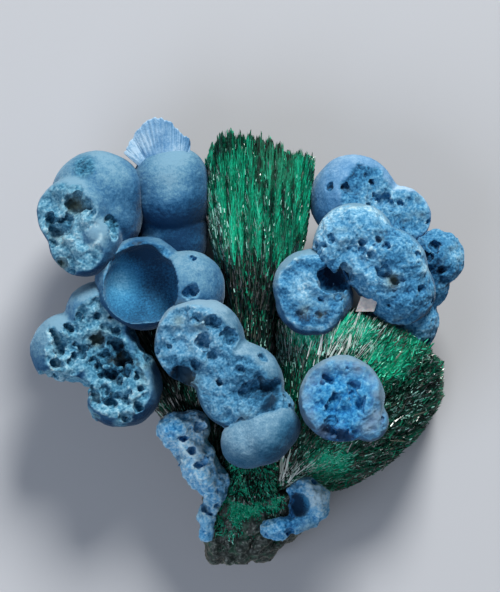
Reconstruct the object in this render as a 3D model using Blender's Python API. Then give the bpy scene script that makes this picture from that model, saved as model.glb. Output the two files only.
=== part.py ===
"""Shattuckite balls grown on fans of malachite needles, laid on their back.

The specimen lies with its show side up (+Z) and its foot towards -Y.
The origin is under the middle of its box, on the surface it lies on.
Dimensions are in millimetres and are turned to metres as meshes are made.
"""
import math
from collections import namedtuple

import bmesh
import bpy
from mathutils import Matrix, Vector, noise
from mathutils.bvhtree import BVHTree

MM = 0.001
GAP = 0.3                     # clearance between minerals that touch

# How the balls are shaped.
BALL_DETAIL = 3               # icosphere subdivisions of a ball
PIT_DETAIL = 2                # icosphere subdivisions of a pit
LUMP = 0.035                  # low swelling of a ball, as a share of its radius
LUMP_PITCH = 0.45             # how closely the swellings lie
PIT_LUMP = 0.1                # the same swelling in a pit
BREAK_CELL = 0.95             # spacing of the points on a broken face
BREAK_ROUGH = 0.6             # height of the grain on a broken face
BREAK_GRAIN = 1.7             # distance from grain to grain
BREAK_HEIGHT = 14.0           # height of the block that a broken face takes away
FINER = 2.3                   # the second, finer layer of a relief: how much closer it lies
FINER_SHARE = 0.5             # and how high it is
ABOVE = 40.0                  # a height above everything, from which pits are sought
PIT_SINK = 0.1                # how far a pit's centre lies below the surface, in radii
GROW_VOXEL = 0.3              # grid on which lobes are grown into one skin
MIN_EDGE = 0.003              # points nearer than this are one point
PINHOLE_SIDES = 6             # a hole that a Boolean leaves with no more sides than this is filled
CUT_TRIES = 5
KEPT_SHARE = 0.3              # a cut that leaves fewer of the points than this has failed
HAIR = 0.013                  # how far a tool is moved before it is tried again
FLAT_ANGLE = 1.0              # faces that turn less than this are joined, in degrees
MELT = 0.5                    # how far each smoothing pass moves a point towards its neighbours

Ball = namedtuple("Ball", "x y z r")
Break = namedtuple("Break", "x y z nx ny nz half dish dish_wide", defaults=(0.0, 1.0))
Pit = namedtuple("Pit", "x y r")
Lobe = namedtuple("Lobe", "balls breaks melt", defaults=(0,))   # melt counts smoothing passes

# Each mineral's colour and roughness.
SHATTUCKITE = (0.09, 0.24, 0.39), 0.9
MALACHITE = (0.01, 0.17, 0.09), 0.35
CALCITE = (0.45, 0.42, 0.42), 0.4

# Triangles of each grown solid, and of the tool that cuts their sockets in the malachite.
SOCKET_FACES = 3600
FACES = {"shattuckite_left_cluster": 3700, "shattuckite_right_cluster": 2100,
         "shattuckite_round_ball": 560, "shattuckite_lower_crust": 480, "shattuckite_broken_shell": 400}

# Left cluster, from its top ball down to the smooth ball at its lower right.
CROWNED_BALL = Lobe(
    balls=[Ball(-7.75, 15.9, 8.5, 4.1), Ball(-7.65, 14.2, 8.5, 3.8), Ball(-7.6, 12.6, 8.5, 3.8),
           Ball(-7.5, 10.4, 8.5, 3.6)],
    breaks=[], melt=40)
UPPER_LEFT_BALL = Lobe(
    balls=[Ball(-15.1, 14.65, 9.5, 4.65), Ball(-15.1, 12.85, 9.5, 4.65)],
    breaks=[], melt=12)
UPPER_LEFT_SCAR = Lobe(
    balls=[Ball(-17.3, 12.75, 12.5, 3.8), Ball(-16.3, 10.25, 12.5, 3.7)],
    breaks=[Break(-17.0, 11.5, 14.6, -0.45, -0.10, 1.0, 6.0)])
SCAR_CORE = Lobe(balls=[Ball(-14.8, 10.75, 14.0, 1.7)], breaks=[])
BOWL_BALL = Lobe(
    balls=[Ball(-10.6, 5.95, 11.5, 4.7)],
    breaks=[Break(-10.6, 5.95, 13.8, 0.10, 0.05, 1.0, 6.0)])
BOWL_NEIGHBOUR = Lobe(balls=[Ball(-6.2, 5.35, 12.0, 3.9)], breaks=[])
BROKEN_LEFT = Lobe(
    balls=[Ball(-14.8, 2.65, 10.5, 3.6), Ball(-18.2, -0.75, 10.0, 3.7),
           Ball(-12.8, -4.35, 10.5, 4.2), Ball(-14.3, -0.75, 10.5, 3.5)],
    breaks=[Break(-14.5, -1.0, 13.7, -0.05, -0.03, 1.0, 11.0, dish=1.6, dish_wide=4.8),
            Break(-19.5, -3.4, 10.0, -0.20, -1.0, 0.20, 4.2),
            Break(-16.0, -7.0, 10.5, -0.75, -0.75, 0.20, 3.0)])
MIDDLE_BALLS = Lobe(
    balls=[Ball(-4.8, 0.05, 14.2, 4.5), Ball(-0.8, -4.25, 14.2, 4.4)],
    breaks=[Break(-3.0, -2.0, 16.6, -0.25, -0.15, 1.0, 8.0)])
SMOOTH_BALL = Lobe(
    balls=[Ball(-0.1, -9.9, 14.9, 2.7), Ball(1.4, -9.2, 15.0, 3.0), Ball(2.9, -8.4, 14.9, 2.4)],
    breaks=[], melt=8)
ROUGH_BRIDGE = Lobe(
    balls=[Ball(-1.5, -6.5, 14.2, 2.1), Ball(0.5, -6.5, 14.6, 2.6), Ball(2.5, -6.5, 14.3, 2.1)],
    breaks=[])
BOWL_HOLLOW = [Ball(-11.0, 5.35, 13.9, 3.4), Ball(-9.8, 5.45, 13.9, 3.4)]
CROWN_FOOT = (-11.6, 18.6), (-6.8, 18.6)      # the two ends of the line that it stands on
CROWN_Z = 9.3
CROWN_RIM = [(-12.5, 19.2), (-11.9, 20.3), (-11.3, 21.4), (-10.6, 22.3), (-9.6, 22.8), (-8.8, 22.5),
             (-8.0, 22.1), (-7.2, 21.8), (-6.5, 21.1), (-5.9, 20.7), (-5.8, 20.1), (-6.2, 19.3)]
CROWN_THICK = 2.6
CROWN_RIB = 0.5
CROWN_TAPER = 0.75            # thickness at the rim, as a share of that at the foot
LEFT_PITS = [
    # the scar on the upper left ball
    Pit(-14.0, 12.4, 0.5), Pit(-13.3, 11.6, 0.6), Pit(-13.5, 10.6, 0.5), Pit(-17.3, 13.8, 0.9),
    Pit(-15.8, 13.5, 0.7), Pit(-19.8, 12.3, 0.6), Pit(-18.2, 12.1, 0.7), Pit(-18.8, 10.9, 0.9),
    Pit(-18.5, 7.7, 0.7),
    # the bowl's neighbour
    Pit(-5.6, 5.2, 0.7),
    # the broken left ball
    Pit(-19.6, 0.95, 0.6), Pit(-19.1, 0.45, 0.7), Pit(-18.8, -0.6, 0.6), Pit(-19.3, -2.1, 0.6),
    Pit(-16.6, -1.0, 0.55), Pit(-17.9, 1.45, 0.55), Pit(-15.2, 0.35, 0.75), Pit(-13.1, -0.3, 0.85),
    Pit(-12.4, -1.65, 1.0), Pit(-14.1, -1.4, 0.75), Pit(-13.7, -3.3, 0.75), Pit(-12.2, -3.15, 0.65),
    Pit(-14.2, -4.65, 0.55), Pit(-15.5, -5.2, 0.6), Pit(-13.2, -5.7, 0.75), Pit(-12.2, -7.45, 0.7),
    Pit(-10.05, -1.65, 0.6), Pit(-11.3, 0.75, 0.55),
    # the middle balls
    Pit(-3.5, 2.1, 0.8), Pit(-5.1, 2.4, 0.6), Pit(-1.8, 0.5, 0.9), Pit(-4.6, 0.0, 0.8),
    Pit(-5.2, -2.2, 0.6), Pit(-6.6, -3.2, 0.9), Pit(0.4, -4.5, 0.9), Pit(1.6, -4.4, 1.0),
    Pit(2.8, -4.3, 0.9), Pit(-0.4, -5.1, 0.6), Pit(1.4, -1.5, 0.6)]

# Right cluster.
HIGH_RIGHT_BALL = Lobe(
    balls=[Ball(10.7, 14.35, 8.8, 4.5), Ball(15.2, 12.55, 9.0, 3.2)],
    breaks=[Break(12.6, 14.2, 11.9, 0.42, 0.20, 1.0, 8.0)])
BROKEN_RIGHT = Lobe(
    balls=[Ball(10.7, 9.75, 13.0, 4.2), Ball(14.0, 7.45, 13.0, 4.0), Ball(15.2, 5.25, 12.2, 3.6)],
    breaks=[Break(13.0, 7.5, 16.0, 0.05, -0.05, 1.0, 8.5)])
ROUND_SLICE = Lobe(
    balls=[Ball(6.4, 5.55, 12.6, 3.9), Ball(6.6, 4.45, 12.6, 3.9)],
    breaks=[Break(6.5, 5.0, 15.1, -0.15, -0.05, 1.0, 6.0)])
RIGHT_EDGE = Lobe(balls=[Ball(19.0, 8.45, 10.0, 2.8), Ball(17.7, 5.75, 9.8, 2.5)], breaks=[])
BEHIND_RIGHT = Lobe(balls=[Ball(16.0, 2.05, 9.5, 3.2), Ball(13.7, 2.45, 10.0, 2.0)], breaks=[])
RIGHT_PITS = [
    Pit(9.7, 15.6, 0.7), Pit(8.2, 15.6, 0.6), Pit(13.4, 14.4, 0.9), Pit(14.4, 13.6, 0.8),
    Pit(8.7, 6.5, 1.4), Pit(9.3, 7.4, 0.9), Pit(13.5, 6.7, 0.8), Pit(14.9, 5.9, 0.9),
    Pit(8.6, 10.4, 0.6), Pit(11.3, 10.0, 0.6), Pit(10.2, 3.7, 0.9), Pit(18.2, 5.2, 0.6),
    Pit(17.2, 3.9, 0.6), Pit(5.2, 3.1, 0.6), Pit(7.0, 2.8, 0.6), Pit(7.2, 4.3, 0.5)]

# The round broken ball in front of the side fan.
ROUND_BALL = Lobe(
    balls=[Ball(9.3, -5.55, 16.2, 4.3), Ball(12.0, -7.85, 16.0, 2.0)],
    breaks=[Break(9.5, -5.9, 18.0, 0.0, 0.05, 1.0, 6.5)])
ROUND_BALL_PITS = [
    Pit(8.6, -5.6, 0.7), Pit(8.3, -6.6, 0.6), Pit(10.5, -4.6, 0.7), Pit(10.9, -5.8, 0.7),
    Pit(7.9, -3.7, 0.5), Pit(8.4, -7.8, 0.6), Pit(8.2, -9.8, 1.0), Pit(10.2, -9.8, 0.7)]

# The crust down the left side of the foot, and the broken shell at its lower right.
LOWER_CRUST = Lobe(
    balls=[Ball(-7.1, -8.9, 9.6, 2.0), Ball(-5.6, -8.7, 9.5, 1.9), Ball(-6.0, -10.2, 9.4, 2.0),
           Ball(-5.2, -11.6, 9.3, 2.0), Ball(-4.6, -12.9, 9.1, 2.0), Ball(-3.6, -14.0, 9.0, 1.8),
           Ball(-3.5, -15.0, 8.9, 1.5), Ball(-3.8, -16.2, 8.6, 1.1), Ball(-4.1, -17.4, 8.4, 0.95),
           Ball(-4.15, -18.5, 8.3, 0.8), Ball(-4.2, -19.4, 8.1, 0.75)],
    breaks=[])
BROKEN_SHELL = Lobe(
    balls=[Ball(4.9, -14.9, 9.0, 1.0), Ball(6.0, -14.8, 9.2, 1.3), Ball(7.0, -15.6, 9.3, 1.3),
           Ball(7.0, -16.8, 9.1, 1.2), Ball(6.0, -17.8, 8.9, 1.1), Ball(4.8, -18.3, 8.8, 1.1),
           Ball(3.4, -18.7, 8.7, 1.2), Ball(2.2, -18.9, 8.5, 1.1), Ball(5.4, -16.4, 8.4, 1.3)],
    breaks=[])
SHELL_HOLLOW = Ball(4.9, -16.4, 10.2, 1.3)

# The pale rhomb between the right cluster and the side fan.
PALE_CENTRE = (11.9, 3.85, 13.4)
PALE_HALF = (0.9, 0.75, 0.9)
PALE_SLANT = 0.35

# The malachite fans. Each is a sheaf of flutes that runs from its root to its tips. A flute is a
# closed strip: along the front to its tip, round the tip, and back along the underside.
FLUTE = 0.34                  # depth of the furrows along a sheaf
FLUTE_AT_ROOT = 0.3           # their depth at the root, as a share of that at the tips
FLUTE_VARY = 0.8              # how much one furrow's depth differs from the next, as a share
FLUTE_STEP = 0.61             # how far apart neighbouring flutes are read in the noise for their depth
JAG = 0.4                     # unevenness of a sheaf's tips
JAG_STEP = 0.9                # how far apart neighbouring flutes are read in the noise for their tips
JAG_AWAY = 3.0                # keeps the noise for the tips apart from that for the depth
LAYER_JAG = 0.2               # unevenness of the layers of a tip
LAYER_STEP = 1.7              # their places in the noise: from flute to flute
LAYER_AWAY = 9.0              # and from layer to layer
LEAST_TIP = 0.15              # the least that a tip stands out
EDGE_FLAT = 0.6               # share of a sheaf's half width that keeps its full thickness
EDGE_THIN = 0.6               # share of its thickness that a sheaf loses at its two edges
TIP_LAYERS = [(0.2, 0.35), (0.5, 0.7), (0.8, 0.35)]    # share of the depth, how far it stands out

TALL_OUTLINE = [              # y, left x, right x, back z, front z
    (-15.3, -1.9, 2.65, 0.0, 8.6), (-12.7, -1.9, 2.65, 0.0, 9.6), (-6.0, -2.1, 2.65, 0.0, 10.0),
    (0.0, -2.2, 2.65, 0.0, 10.6), (3.4, -2.3, 2.7, 0.4, 11.2), (7.3, -2.8, 4.3, 0.8, 12.2),
    (9.8, -3.6, 5.6, 1.3, 12.8), (14.3, -4.1, 6.2, 2.4, 12.8), (17.5, -4.1, 6.5, 3.2, 12.4)]
TALL_TIPS = [(-1.0, 17.8), (-0.8, 19.7), (-0.6, 20.0), (0.0, 19.7), (0.5, 18.5), (1.0, 17.8)]
TALL_FLUTES = 22

SIDE_ROOT = (3.0, -15.2)
SIDE_ANGLES = (90.0, 2.0)
SIDE_START = 1.2
SIDE_REACH = [(90, 17.0), (75, 18.6), (65, 19.4), (50, 20.5), (40, 20.6), (32, 19.0), (25, 16.1),
              (19, 12.9), (13, 10.0), (7, 7.5), (2, 5.4)]
SIDE_FRONT = [(0.0, 7.4), (3.0, 8.4), (8.0, 12.0), (14.0, 13.3), (21.0, 14.0)]
SIDE_FALL = [(2, 0.5), (15, 0.6), (30, 0.75), (45, 0.95), (60, 1.0), (90, 1.0)]
SIDE_STATIONS = [0.0, 0.16, 0.36, 0.6, 0.82, 1.0]
SIDE_FLUTES = 22

LEFT_ROOT = (-2.2, -16.6)
LEFT_ANGLES = (92.0, 126.0)
LEFT_START = 1.5
LEFT_REACH = [(92, 19.4), (96, 22.4), (100, 25.4), (104, 28.9), (112, 29.5), (118, 25.5), (126, 22.0)]
LEFT_FRONT = [(0.0, 7.0), (10.0, 7.8), (30.0, 7.8)]
LEFT_FALL = [(90, 1.0), (130, 1.0)]
LEFT_STATIONS = [0.0, 0.3, 0.55, 0.8, 1.0]
LEFT_FLUTES = 11

FOOT_OUTLINE = [              # y, left x, right x, back z, front z
    (-15.6, -4.2, 6.0, 0.0, 7.8), (-17.5, -4.3, 6.3, 0.0, 7.6), (-19.0, -4.3, 5.4, 0.0, 7.4),
    (-20.0, -4.3, 4.2, 0.0, 7.0), (-21.0, -4.2, 2.9, 0.0, 6.6)]
FOOT_TIPS = [(-1.0, -21.0), (-0.8, -21.6), (0.0, -21.75), (0.6, -21.5), (1.0, -21.0)]
FOOT_FLUTES = 10


def mix(table, at):
    """Read a table of (place, value) pairs at a place, straight between its rows."""
    rows = sorted(table)
    if at <= rows[0][0]:
        return rows[0][1]
    for (low, low_value), (high, high_value) in zip(rows, rows[1:]):
        if at <= high:
            return low_value + (high_value - low_value) * (at - low) / (high - low)
    return rows[-1][1]


def hash_noise(a, b=0.0, c=0.0):
    """A smooth value from -1 to 1 that depends only on its place."""
    return noise.noise(Vector((a, b, c)))


def to_object(name, bm):
    """Turn a bmesh in millimetres into an object in metres, with its faces triangles."""
    bmesh.ops.triangulate(bm, faces=bm.faces)
    bmesh.ops.recalc_face_normals(bm, faces=bm.faces)
    bmesh.ops.scale(bm, vec=(MM, MM, MM), verts=bm.verts)
    mesh = bpy.data.meshes.new(name)
    bm.to_mesh(mesh)
    bm.free()
    body = bpy.data.objects.new(name, mesh)
    bpy.context.scene.collection.objects.link(body)
    return body


def ball_object(ball, grow=0.0, detail=BALL_DETAIL, lump=LUMP):
    """A ball with low swellings."""
    bm = bmesh.new()
    bmesh.ops.create_icosphere(bm, subdivisions=detail, radius=ball.r + grow)
    centre = Vector(ball[:3])
    for vert in bm.verts:
        place = vert.co * LUMP_PITCH + centre
        vert.co *= 1.0 + lump * (noise.noise(place) + FINER_SHARE * noise.noise(place * FINER))
        vert.co += centre
    return to_object("ball", bm)


def break_object(face):
    """A block whose underside is a rough broken face; it takes away what stands above it."""
    bm = bmesh.new()
    count = round(2 * face.half / BREAK_CELL)
    bmesh.ops.create_grid(bm, x_segments=count, y_segments=count, size=face.half)
    centre = Vector((face.x, face.y, face.z))
    turn = Vector((0, 0, 1)).rotation_difference(Vector((face.nx, face.ny, face.nz))).to_matrix()
    for vert in bm.verts:
        place = (turn @ vert.co + centre) / BREAK_GRAIN
        sunk = face.dish * math.exp(-(vert.co.length / face.dish_wide) ** 2)
        vert.co.z = BREAK_ROUGH * (noise.noise(place) + FINER_SHARE * noise.noise(place * FINER)) - sunk
    top = bmesh.ops.extrude_face_region(bm, geom=bm.faces[:])["geom"]
    bmesh.ops.translate(bm, vec=(0, 0, BREAK_HEIGHT), verts=[v for v in top if isinstance(v, bmesh.types.BMVert)])
    bmesh.ops.transform(bm, matrix=Matrix.Translation(centre) @ turn.to_4x4(), verts=bm.verts)
    return to_object("break", bm)


def cut_away(body, tool):
    """Cut a tool away from a body, and delete the tool.

    Where the solver fails and leaves next to nothing, the tool is moved a hair and the cut is made again.
    """
    before = body.data.copy()
    for _ in range(CUT_TRIES):
        step = body.modifiers.new("cut", "BOOLEAN")
        step.operation = "DIFFERENCE"
        step.object = tool
        step.solver = "EXACT"
        keep_modifier(body)
        if len(body.data.vertices) > KEPT_SHARE * len(before.vertices):
            break
        body.data = before.copy()
        tool.data.transform(Matrix.Translation((HAIR * MM, HAIR * MM, HAIR * MM)))
    bpy.data.objects.remove(tool)


def keep_modifier(body):
    """Replace a body's mesh by what its modifiers make of it."""
    result = bpy.data.meshes.new_from_object(body.evaluated_get(bpy.context.evaluated_depsgraph_get()))
    body.modifiers.clear()
    old = body.data
    body.data = result
    bpy.data.meshes.remove(old)


def grow_together(bodies):
    """Bodies that overlap, grown into one skin."""
    bm = bmesh.new()
    for body in bodies:
        bm.from_mesh(body.data)
        bpy.data.objects.remove(body)
    mesh = bpy.data.meshes.new("grown")
    bm.to_mesh(mesh)
    bm.free()
    grown = bpy.data.objects.new("grown", mesh)
    bpy.context.scene.collection.objects.link(grown)
    skin = grown.modifiers.new("skin", "REMESH")
    skin.mode = "VOXEL"
    skin.voxel_size = GROW_VOXEL * MM
    keep_modifier(grown)
    return grown


def lobe_object(lobe):
    """The balls of one lobe, grown together, with its broken faces cut."""
    body = grow_together([ball_object(ball) for ball in lobe.balls])
    if lobe.melt:
        soft = body.modifiers.new("melt", "SMOOTH")
        soft.factor = MELT
        soft.iterations = lobe.melt
        keep_modifier(body)
    for face in lobe.breaks:
        cut_away(body, break_object(face))
    return body


def cut_pits(body, pits):
    """Sink each pit where a line straight down from the show side meets the body."""
    for pit in pits:
        tree = BVHTree.FromObject(body, bpy.context.evaluated_depsgraph_get())
        hit = tree.ray_cast(Vector((pit.x, pit.y, ABOVE)) * MM, Vector((0, 0, -1)))[0]
        if hit:
            ball = Ball(pit.x, pit.y, hit.z / MM - PIT_SINK * pit.r, pit.r)
            cut_away(body, ball_object(ball, detail=PIT_DETAIL, lump=PIT_LUMP))


def thin_out(body, faces):
    """Bring a body down to about so many triangles."""
    thin = body.modifiers.new("thin", "DECIMATE")
    thin.ratio = faces / sum(len(face.vertices) - 2 for face in body.data.polygons)
    keep_modifier(body)


def cut_sockets(body, tool):
    """Leave room round the balls that grew against this body."""
    copy = tool.copy()
    copy.data = tool.data.copy()
    bpy.context.scene.collection.objects.link(copy)
    cut_away(body, copy)


def finish(body, name, mineral):
    """Thin a body's faces out, name it and give it its material."""
    if name in FACES:
        body = grow_together([body])
        thin_out(body, FACES[name])
    bm = bmesh.new()
    bm.from_mesh(body.data)
    bmesh.ops.remove_doubles(bm, verts=bm.verts, dist=MIN_EDGE * MM)
    bmesh.ops.dissolve_degenerate(bm, edges=bm.edges, dist=MIN_EDGE * MM)
    pinholes = [edge for edge in bm.edges if edge.is_boundary]
    bmesh.ops.holes_fill(bm, edges=pinholes, sides=PINHOLE_SIDES)
    bmesh.ops.dissolve_limit(bm, angle_limit=math.radians(FLAT_ANGLE), verts=bm.verts, edges=bm.edges)
    bmesh.ops.triangulate(bm, faces=bm.faces)
    bm.to_mesh(body.data)
    bm.free()
    body.name = name
    body.data.name = name
    colour, roughness = mineral
    material = bpy.data.materials.new(name)
    material.use_nodes = True
    shader = material.node_tree.nodes["Principled BSDF"]
    shader.inputs["Base Color"].default_value = (*colour, 1.0)
    shader.inputs["Roughness"].default_value = roughness
    material.diffuse_color = (*colour, 1.0)
    body.data.materials.clear()
    body.data.materials.append(material)
    return body


def crown_object():
    """The broken fan of fibres that stands on the crowned ball."""
    bm = bmesh.new()
    left, right = (Vector(end) for end in CROWN_FOOT)
    half = CROWN_THICK / 2
    rings = []
    for count, rim in enumerate(CROWN_RIM):
        foot = left.lerp(right, count / (len(CROWN_RIM) - 1))
        rim_half = half * CROWN_TAPER + (CROWN_RIB if count % 2 else -CROWN_RIB)
        rings.append([bm.verts.new((*place, CROWN_Z + height)) for place, height in (
            (foot, half), (rim, rim_half), (rim, -rim_half), (foot, -half))])
    for one, two in zip(rings, rings[1:]):
        for here in range(4):
            there = (here + 1) % 4
            bm.faces.new((one[here], one[there], two[there], two[here]))
    bm.faces.new(rings[0])
    bm.faces.new(rings[-1])
    return to_object("crown", bm)


def sheaf_object(flutes, stations, place, depth, tip, seed):
    """A closed sheaf of flutes.

    place(across, along) gives x and y, with across from -1 to 1 and along from 0 to 1.
    depth(across, along) gives the back and front heights.
    tip(across, out) gives x and y at a distance beyond the end of a flute.
    """
    bm = bmesh.new()
    strips = []
    for count in range(flutes + 1):
        across = 2 * count / flutes - 1
        thin = EDGE_THIN * (max(0.0, abs(across) - EDGE_FLAT) / (1 - EDGE_FLAT)) ** 2
        ridge = FLUTE * ((1.0 if count % 2 else -1.0) + FLUTE_VARY * hash_noise(count * FLUTE_STEP, seed))
        jag = JAG * (0.5 if count % 2 else -0.5) + JAG * hash_noise(count * JAG_STEP, seed + JAG_AWAY)
        front = []
        back = []
        for along in stations:
            x, y = place(across, along)
            low, high = depth(across, along)
            loss = thin * (high - low) / 2
            front.append((x, y, high - loss + ridge * (FLUTE_AT_ROOT + (1 - FLUTE_AT_ROOT) * along)))
            back.append((x, y, low + loss))
        end = []
        top, bottom = front[-1][2], back[-1][2]
        for share, out in TIP_LAYERS:
            x, y = tip(across, out + jag + LAYER_JAG * hash_noise(count * LAYER_STEP, share * LAYER_AWAY, seed))
            end.append((x, y, top + (bottom - top) * share))
        strips.append([bm.verts.new(point) for point in front + end + back[::-1]])
    size = len(strips[0])
    for one, two in zip(strips, strips[1:]):
        for here in range(size):
            there = (here + 1) % size
            bm.faces.new((one[here], one[there], two[there], two[here]))
    last = len(stations) - 1
    for strip in (strips[0], strips[-1]):
        for here in range(last):
            bm.faces.new((strip[here], strip[here + 1], strip[size - 2 - here], strip[size - 1 - here]))
        bm.faces.new(strip[last:size - last])
    return to_object("sheaf", bm)


def column_sheaf(outline, tips, flutes, seed):
    """A sheaf between a left and a right edge that runs straight up or down from its root."""
    start = outline[0][0]
    down = -1.0 if outline[-1][0] < start else 1.0
    stations = [abs(row[0] - start) / abs(outline[-1][0] - start) for row in outline]
    tables = [[(along, row[part]) for along, row in zip(stations, outline)] for part in range(1, 5)]

    def place(across, along):
        left, right = mix(tables[0], along), mix(tables[1], along)
        return (left + right + (right - left) * across) / 2, start + (outline[-1][0] - start) * along

    def depth(across, along):
        return mix(tables[2], along), mix(tables[3], along)

    def tip(across, out):
        x, y = place(across, 1.0)
        reach = max(LEAST_TIP, down * (mix(tips, across) - y) + out)
        return x, y + down * reach

    return sheaf_object(flutes, stations, place, depth, tip, seed)


def fan_sheaf(root, angles, start, reach, front, fall, stations, flutes, seed):
    """A sheaf that opens from a root and lies flat on its back."""
    def polar(across, out):
        degrees = (angles[0] + angles[1] + (angles[1] - angles[0]) * across) / 2
        turn = math.radians(degrees)
        return root[0] + out * math.cos(turn), root[1] + out * math.sin(turn), degrees

    def distance(across, along):
        degrees = polar(across, 0.0)[2]
        return start + (mix(reach, degrees) - start) * along

    def place(across, along):
        return polar(across, distance(across, along))[:2]

    def depth(across, along):
        degrees = polar(across, 0.0)[2]
        return 0.0, mix(front, distance(across, along)) * mix(fall, degrees)

    def tip(across, out):
        return polar(across, distance(across, 1.0) + max(LEAST_TIP, out))[:2]

    return sheaf_object(flutes, stations, place, depth, tip, seed)


def pale_crystal(grow=0.0):
    """A small slanted block with flat cleavage faces."""
    bm = bmesh.new()
    bmesh.ops.create_cube(bm, size=2.0)
    for vert in bm.verts:
        vert.co = Vector([at * (half + grow) for at, half in zip(vert.co, PALE_HALF)])
        vert.co.x += PALE_SLANT * vert.co.y
        vert.co.z += PALE_SLANT * vert.co.x
        vert.co += Vector(PALE_CENTRE)
    return to_object("pale", bm)


def cluster(lobes, pits, extra=()):
    """Lobes grown into one another, as one solid."""
    body = grow_together([lobe_object(lobe) for lobe in lobes] + list(extra))
    cut_pits(body, pits)
    return body


def build():
    """Make every piece of the specimen."""
    for thing in list(bpy.data.objects):
        bpy.data.objects.remove(thing)
    left_lobes = [CROWNED_BALL, UPPER_LEFT_BALL, UPPER_LEFT_SCAR, SCAR_CORE, BOWL_BALL, BOWL_NEIGHBOUR,
                  BROKEN_LEFT, MIDDLE_BALLS, SMOOTH_BALL, ROUGH_BRIDGE]
    right_lobes = [HIGH_RIGHT_BALL, BROKEN_RIGHT, ROUND_SLICE, RIGHT_EDGE, BEHIND_RIGHT]
    left = cluster(left_lobes, [], [crown_object()])
    for ball in BOWL_HOLLOW:
        cut_away(left, ball_object(ball))
    cut_pits(left, LEFT_PITS)
    finish(left, "shattuckite_left_cluster", SHATTUCKITE)
    right = cluster(right_lobes, RIGHT_PITS)
    cut_away(right, pale_crystal(GAP))
    finish(right, "shattuckite_right_cluster", SHATTUCKITE)
    finish(cluster([ROUND_BALL], ROUND_BALL_PITS), "shattuckite_round_ball", SHATTUCKITE)
    finish(cluster([LOWER_CRUST], []), "shattuckite_lower_crust", SHATTUCKITE)
    shell = cluster([BROKEN_SHELL], [])
    cut_away(shell, ball_object(SHELL_HOLLOW, detail=PIT_DETAIL))
    finish(shell, "shattuckite_broken_shell", SHATTUCKITE)
    finish(pale_crystal(), "pale_crystal", CALCITE)

    balls = []
    for lobe in left_lobes + right_lobes + [ROUND_BALL, LOWER_CRUST, BROKEN_SHELL]:
        balls += lobe.balls
    fans = {
        "malachite_tall_spray": column_sheaf(TALL_OUTLINE, TALL_TIPS, TALL_FLUTES, seed=4.1),
        "malachite_side_spray": fan_sheaf(SIDE_ROOT, SIDE_ANGLES, SIDE_START, SIDE_REACH, SIDE_FRONT,
                                          SIDE_FALL, SIDE_STATIONS, SIDE_FLUTES, seed=7.3),
        "malachite_left_spray": fan_sheaf(LEFT_ROOT, LEFT_ANGLES, LEFT_START, LEFT_REACH, LEFT_FRONT,
                                          LEFT_FALL, LEFT_STATIONS, LEFT_FLUTES, seed=1.9),
        "malachite_foot": column_sheaf(FOOT_OUTLINE, FOOT_TIPS, FOOT_FLUTES, seed=2.6),
    }
    sockets = grow_together([ball_object(ball, grow=GAP) for ball in balls])
    thin_out(sockets, SOCKET_FACES)
    for name, body in fans.items():
        cut_sockets(body, sockets)
        finish(body, name, MALACHITE)
    bpy.data.objects.remove(sockets)


build()
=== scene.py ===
import math

import bpy
import numpy as np
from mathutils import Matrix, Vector, noise
from mathutils.bvhtree import BVHTree


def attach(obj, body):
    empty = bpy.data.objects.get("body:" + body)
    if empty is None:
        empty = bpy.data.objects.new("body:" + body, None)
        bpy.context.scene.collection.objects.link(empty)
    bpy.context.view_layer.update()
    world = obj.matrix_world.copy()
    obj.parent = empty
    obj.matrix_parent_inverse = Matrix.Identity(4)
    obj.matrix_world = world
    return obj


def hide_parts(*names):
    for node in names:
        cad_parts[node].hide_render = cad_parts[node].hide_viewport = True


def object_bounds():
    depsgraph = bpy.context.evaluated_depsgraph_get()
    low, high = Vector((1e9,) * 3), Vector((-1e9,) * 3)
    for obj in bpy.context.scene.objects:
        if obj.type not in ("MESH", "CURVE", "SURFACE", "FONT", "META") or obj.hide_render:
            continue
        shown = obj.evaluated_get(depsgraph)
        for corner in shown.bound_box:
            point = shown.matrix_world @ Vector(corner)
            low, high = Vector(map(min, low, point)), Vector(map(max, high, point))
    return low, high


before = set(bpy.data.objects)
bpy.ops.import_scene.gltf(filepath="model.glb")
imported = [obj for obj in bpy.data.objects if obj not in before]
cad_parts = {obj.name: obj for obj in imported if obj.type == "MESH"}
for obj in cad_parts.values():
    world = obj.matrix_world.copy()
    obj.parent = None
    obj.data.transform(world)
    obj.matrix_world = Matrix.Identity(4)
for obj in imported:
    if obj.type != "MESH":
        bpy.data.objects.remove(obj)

# Shattuckite balls on fans of malachite needles. The specimen lies on its back, show side up (+Z),
# foot towards -Y. The tables are in the frame's own drawing millimetres.
MM = 0.001
CAD_BOX = [[float(at) for at in corner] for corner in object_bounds()]
SCENE = bpy.context.scene

GROW = 0.2  # grid on which the balls of a lobe grow together
SKIN = 0.125  # grid of a finished mineral surface
LUMP = 0.035  # low swelling of a ball, as a share of its radius
SLAB_CELL = 0.3  # spacing of the points on a broken face
SLAB_HEIGHT = 14.0
CUT_TRIES = 5
ALL_OVER = -0.1  # on a lobe that is rough all over, faces that point higher than this are broken
PIT_WIDE = 1.15  # pits are dug wide, because their edges crumble inwards
KEPT_SHARE = 0.3  # a cut that leaves fewer of the points than this has failed
HAIR = 0.013  # how far a tool moves before another try
EDGE = 0.02  # how far every point stays inside the frame's own box
ABOVE = 40.0  # a height over the whole specimen
MELT_STEPS = 2.25  # smoothing passes for each step of melt
HOLLOW_GRID, PIT_GRID = 0.15, 0.11
PIT_SUNK = 0.5  # how deep the middle of a pit lies, as a share of its radius
PIT_LUMPS = 1.3  # how close the lumps of a pit's wall are
LARGE_PIT = 0.4  # pits above this radius get a finer ball
VUG_LEAST, VUG_MORE = 0.16, 0.32  # a chance pit's least radius, and what chance adds
VUG_UP = 0.2  # chance pits need a face that points higher than this
FADE = 2  # passes that soften the border between kinds of face
LEVELS = 10  # steps in which the crumbly relief fades out
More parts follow.
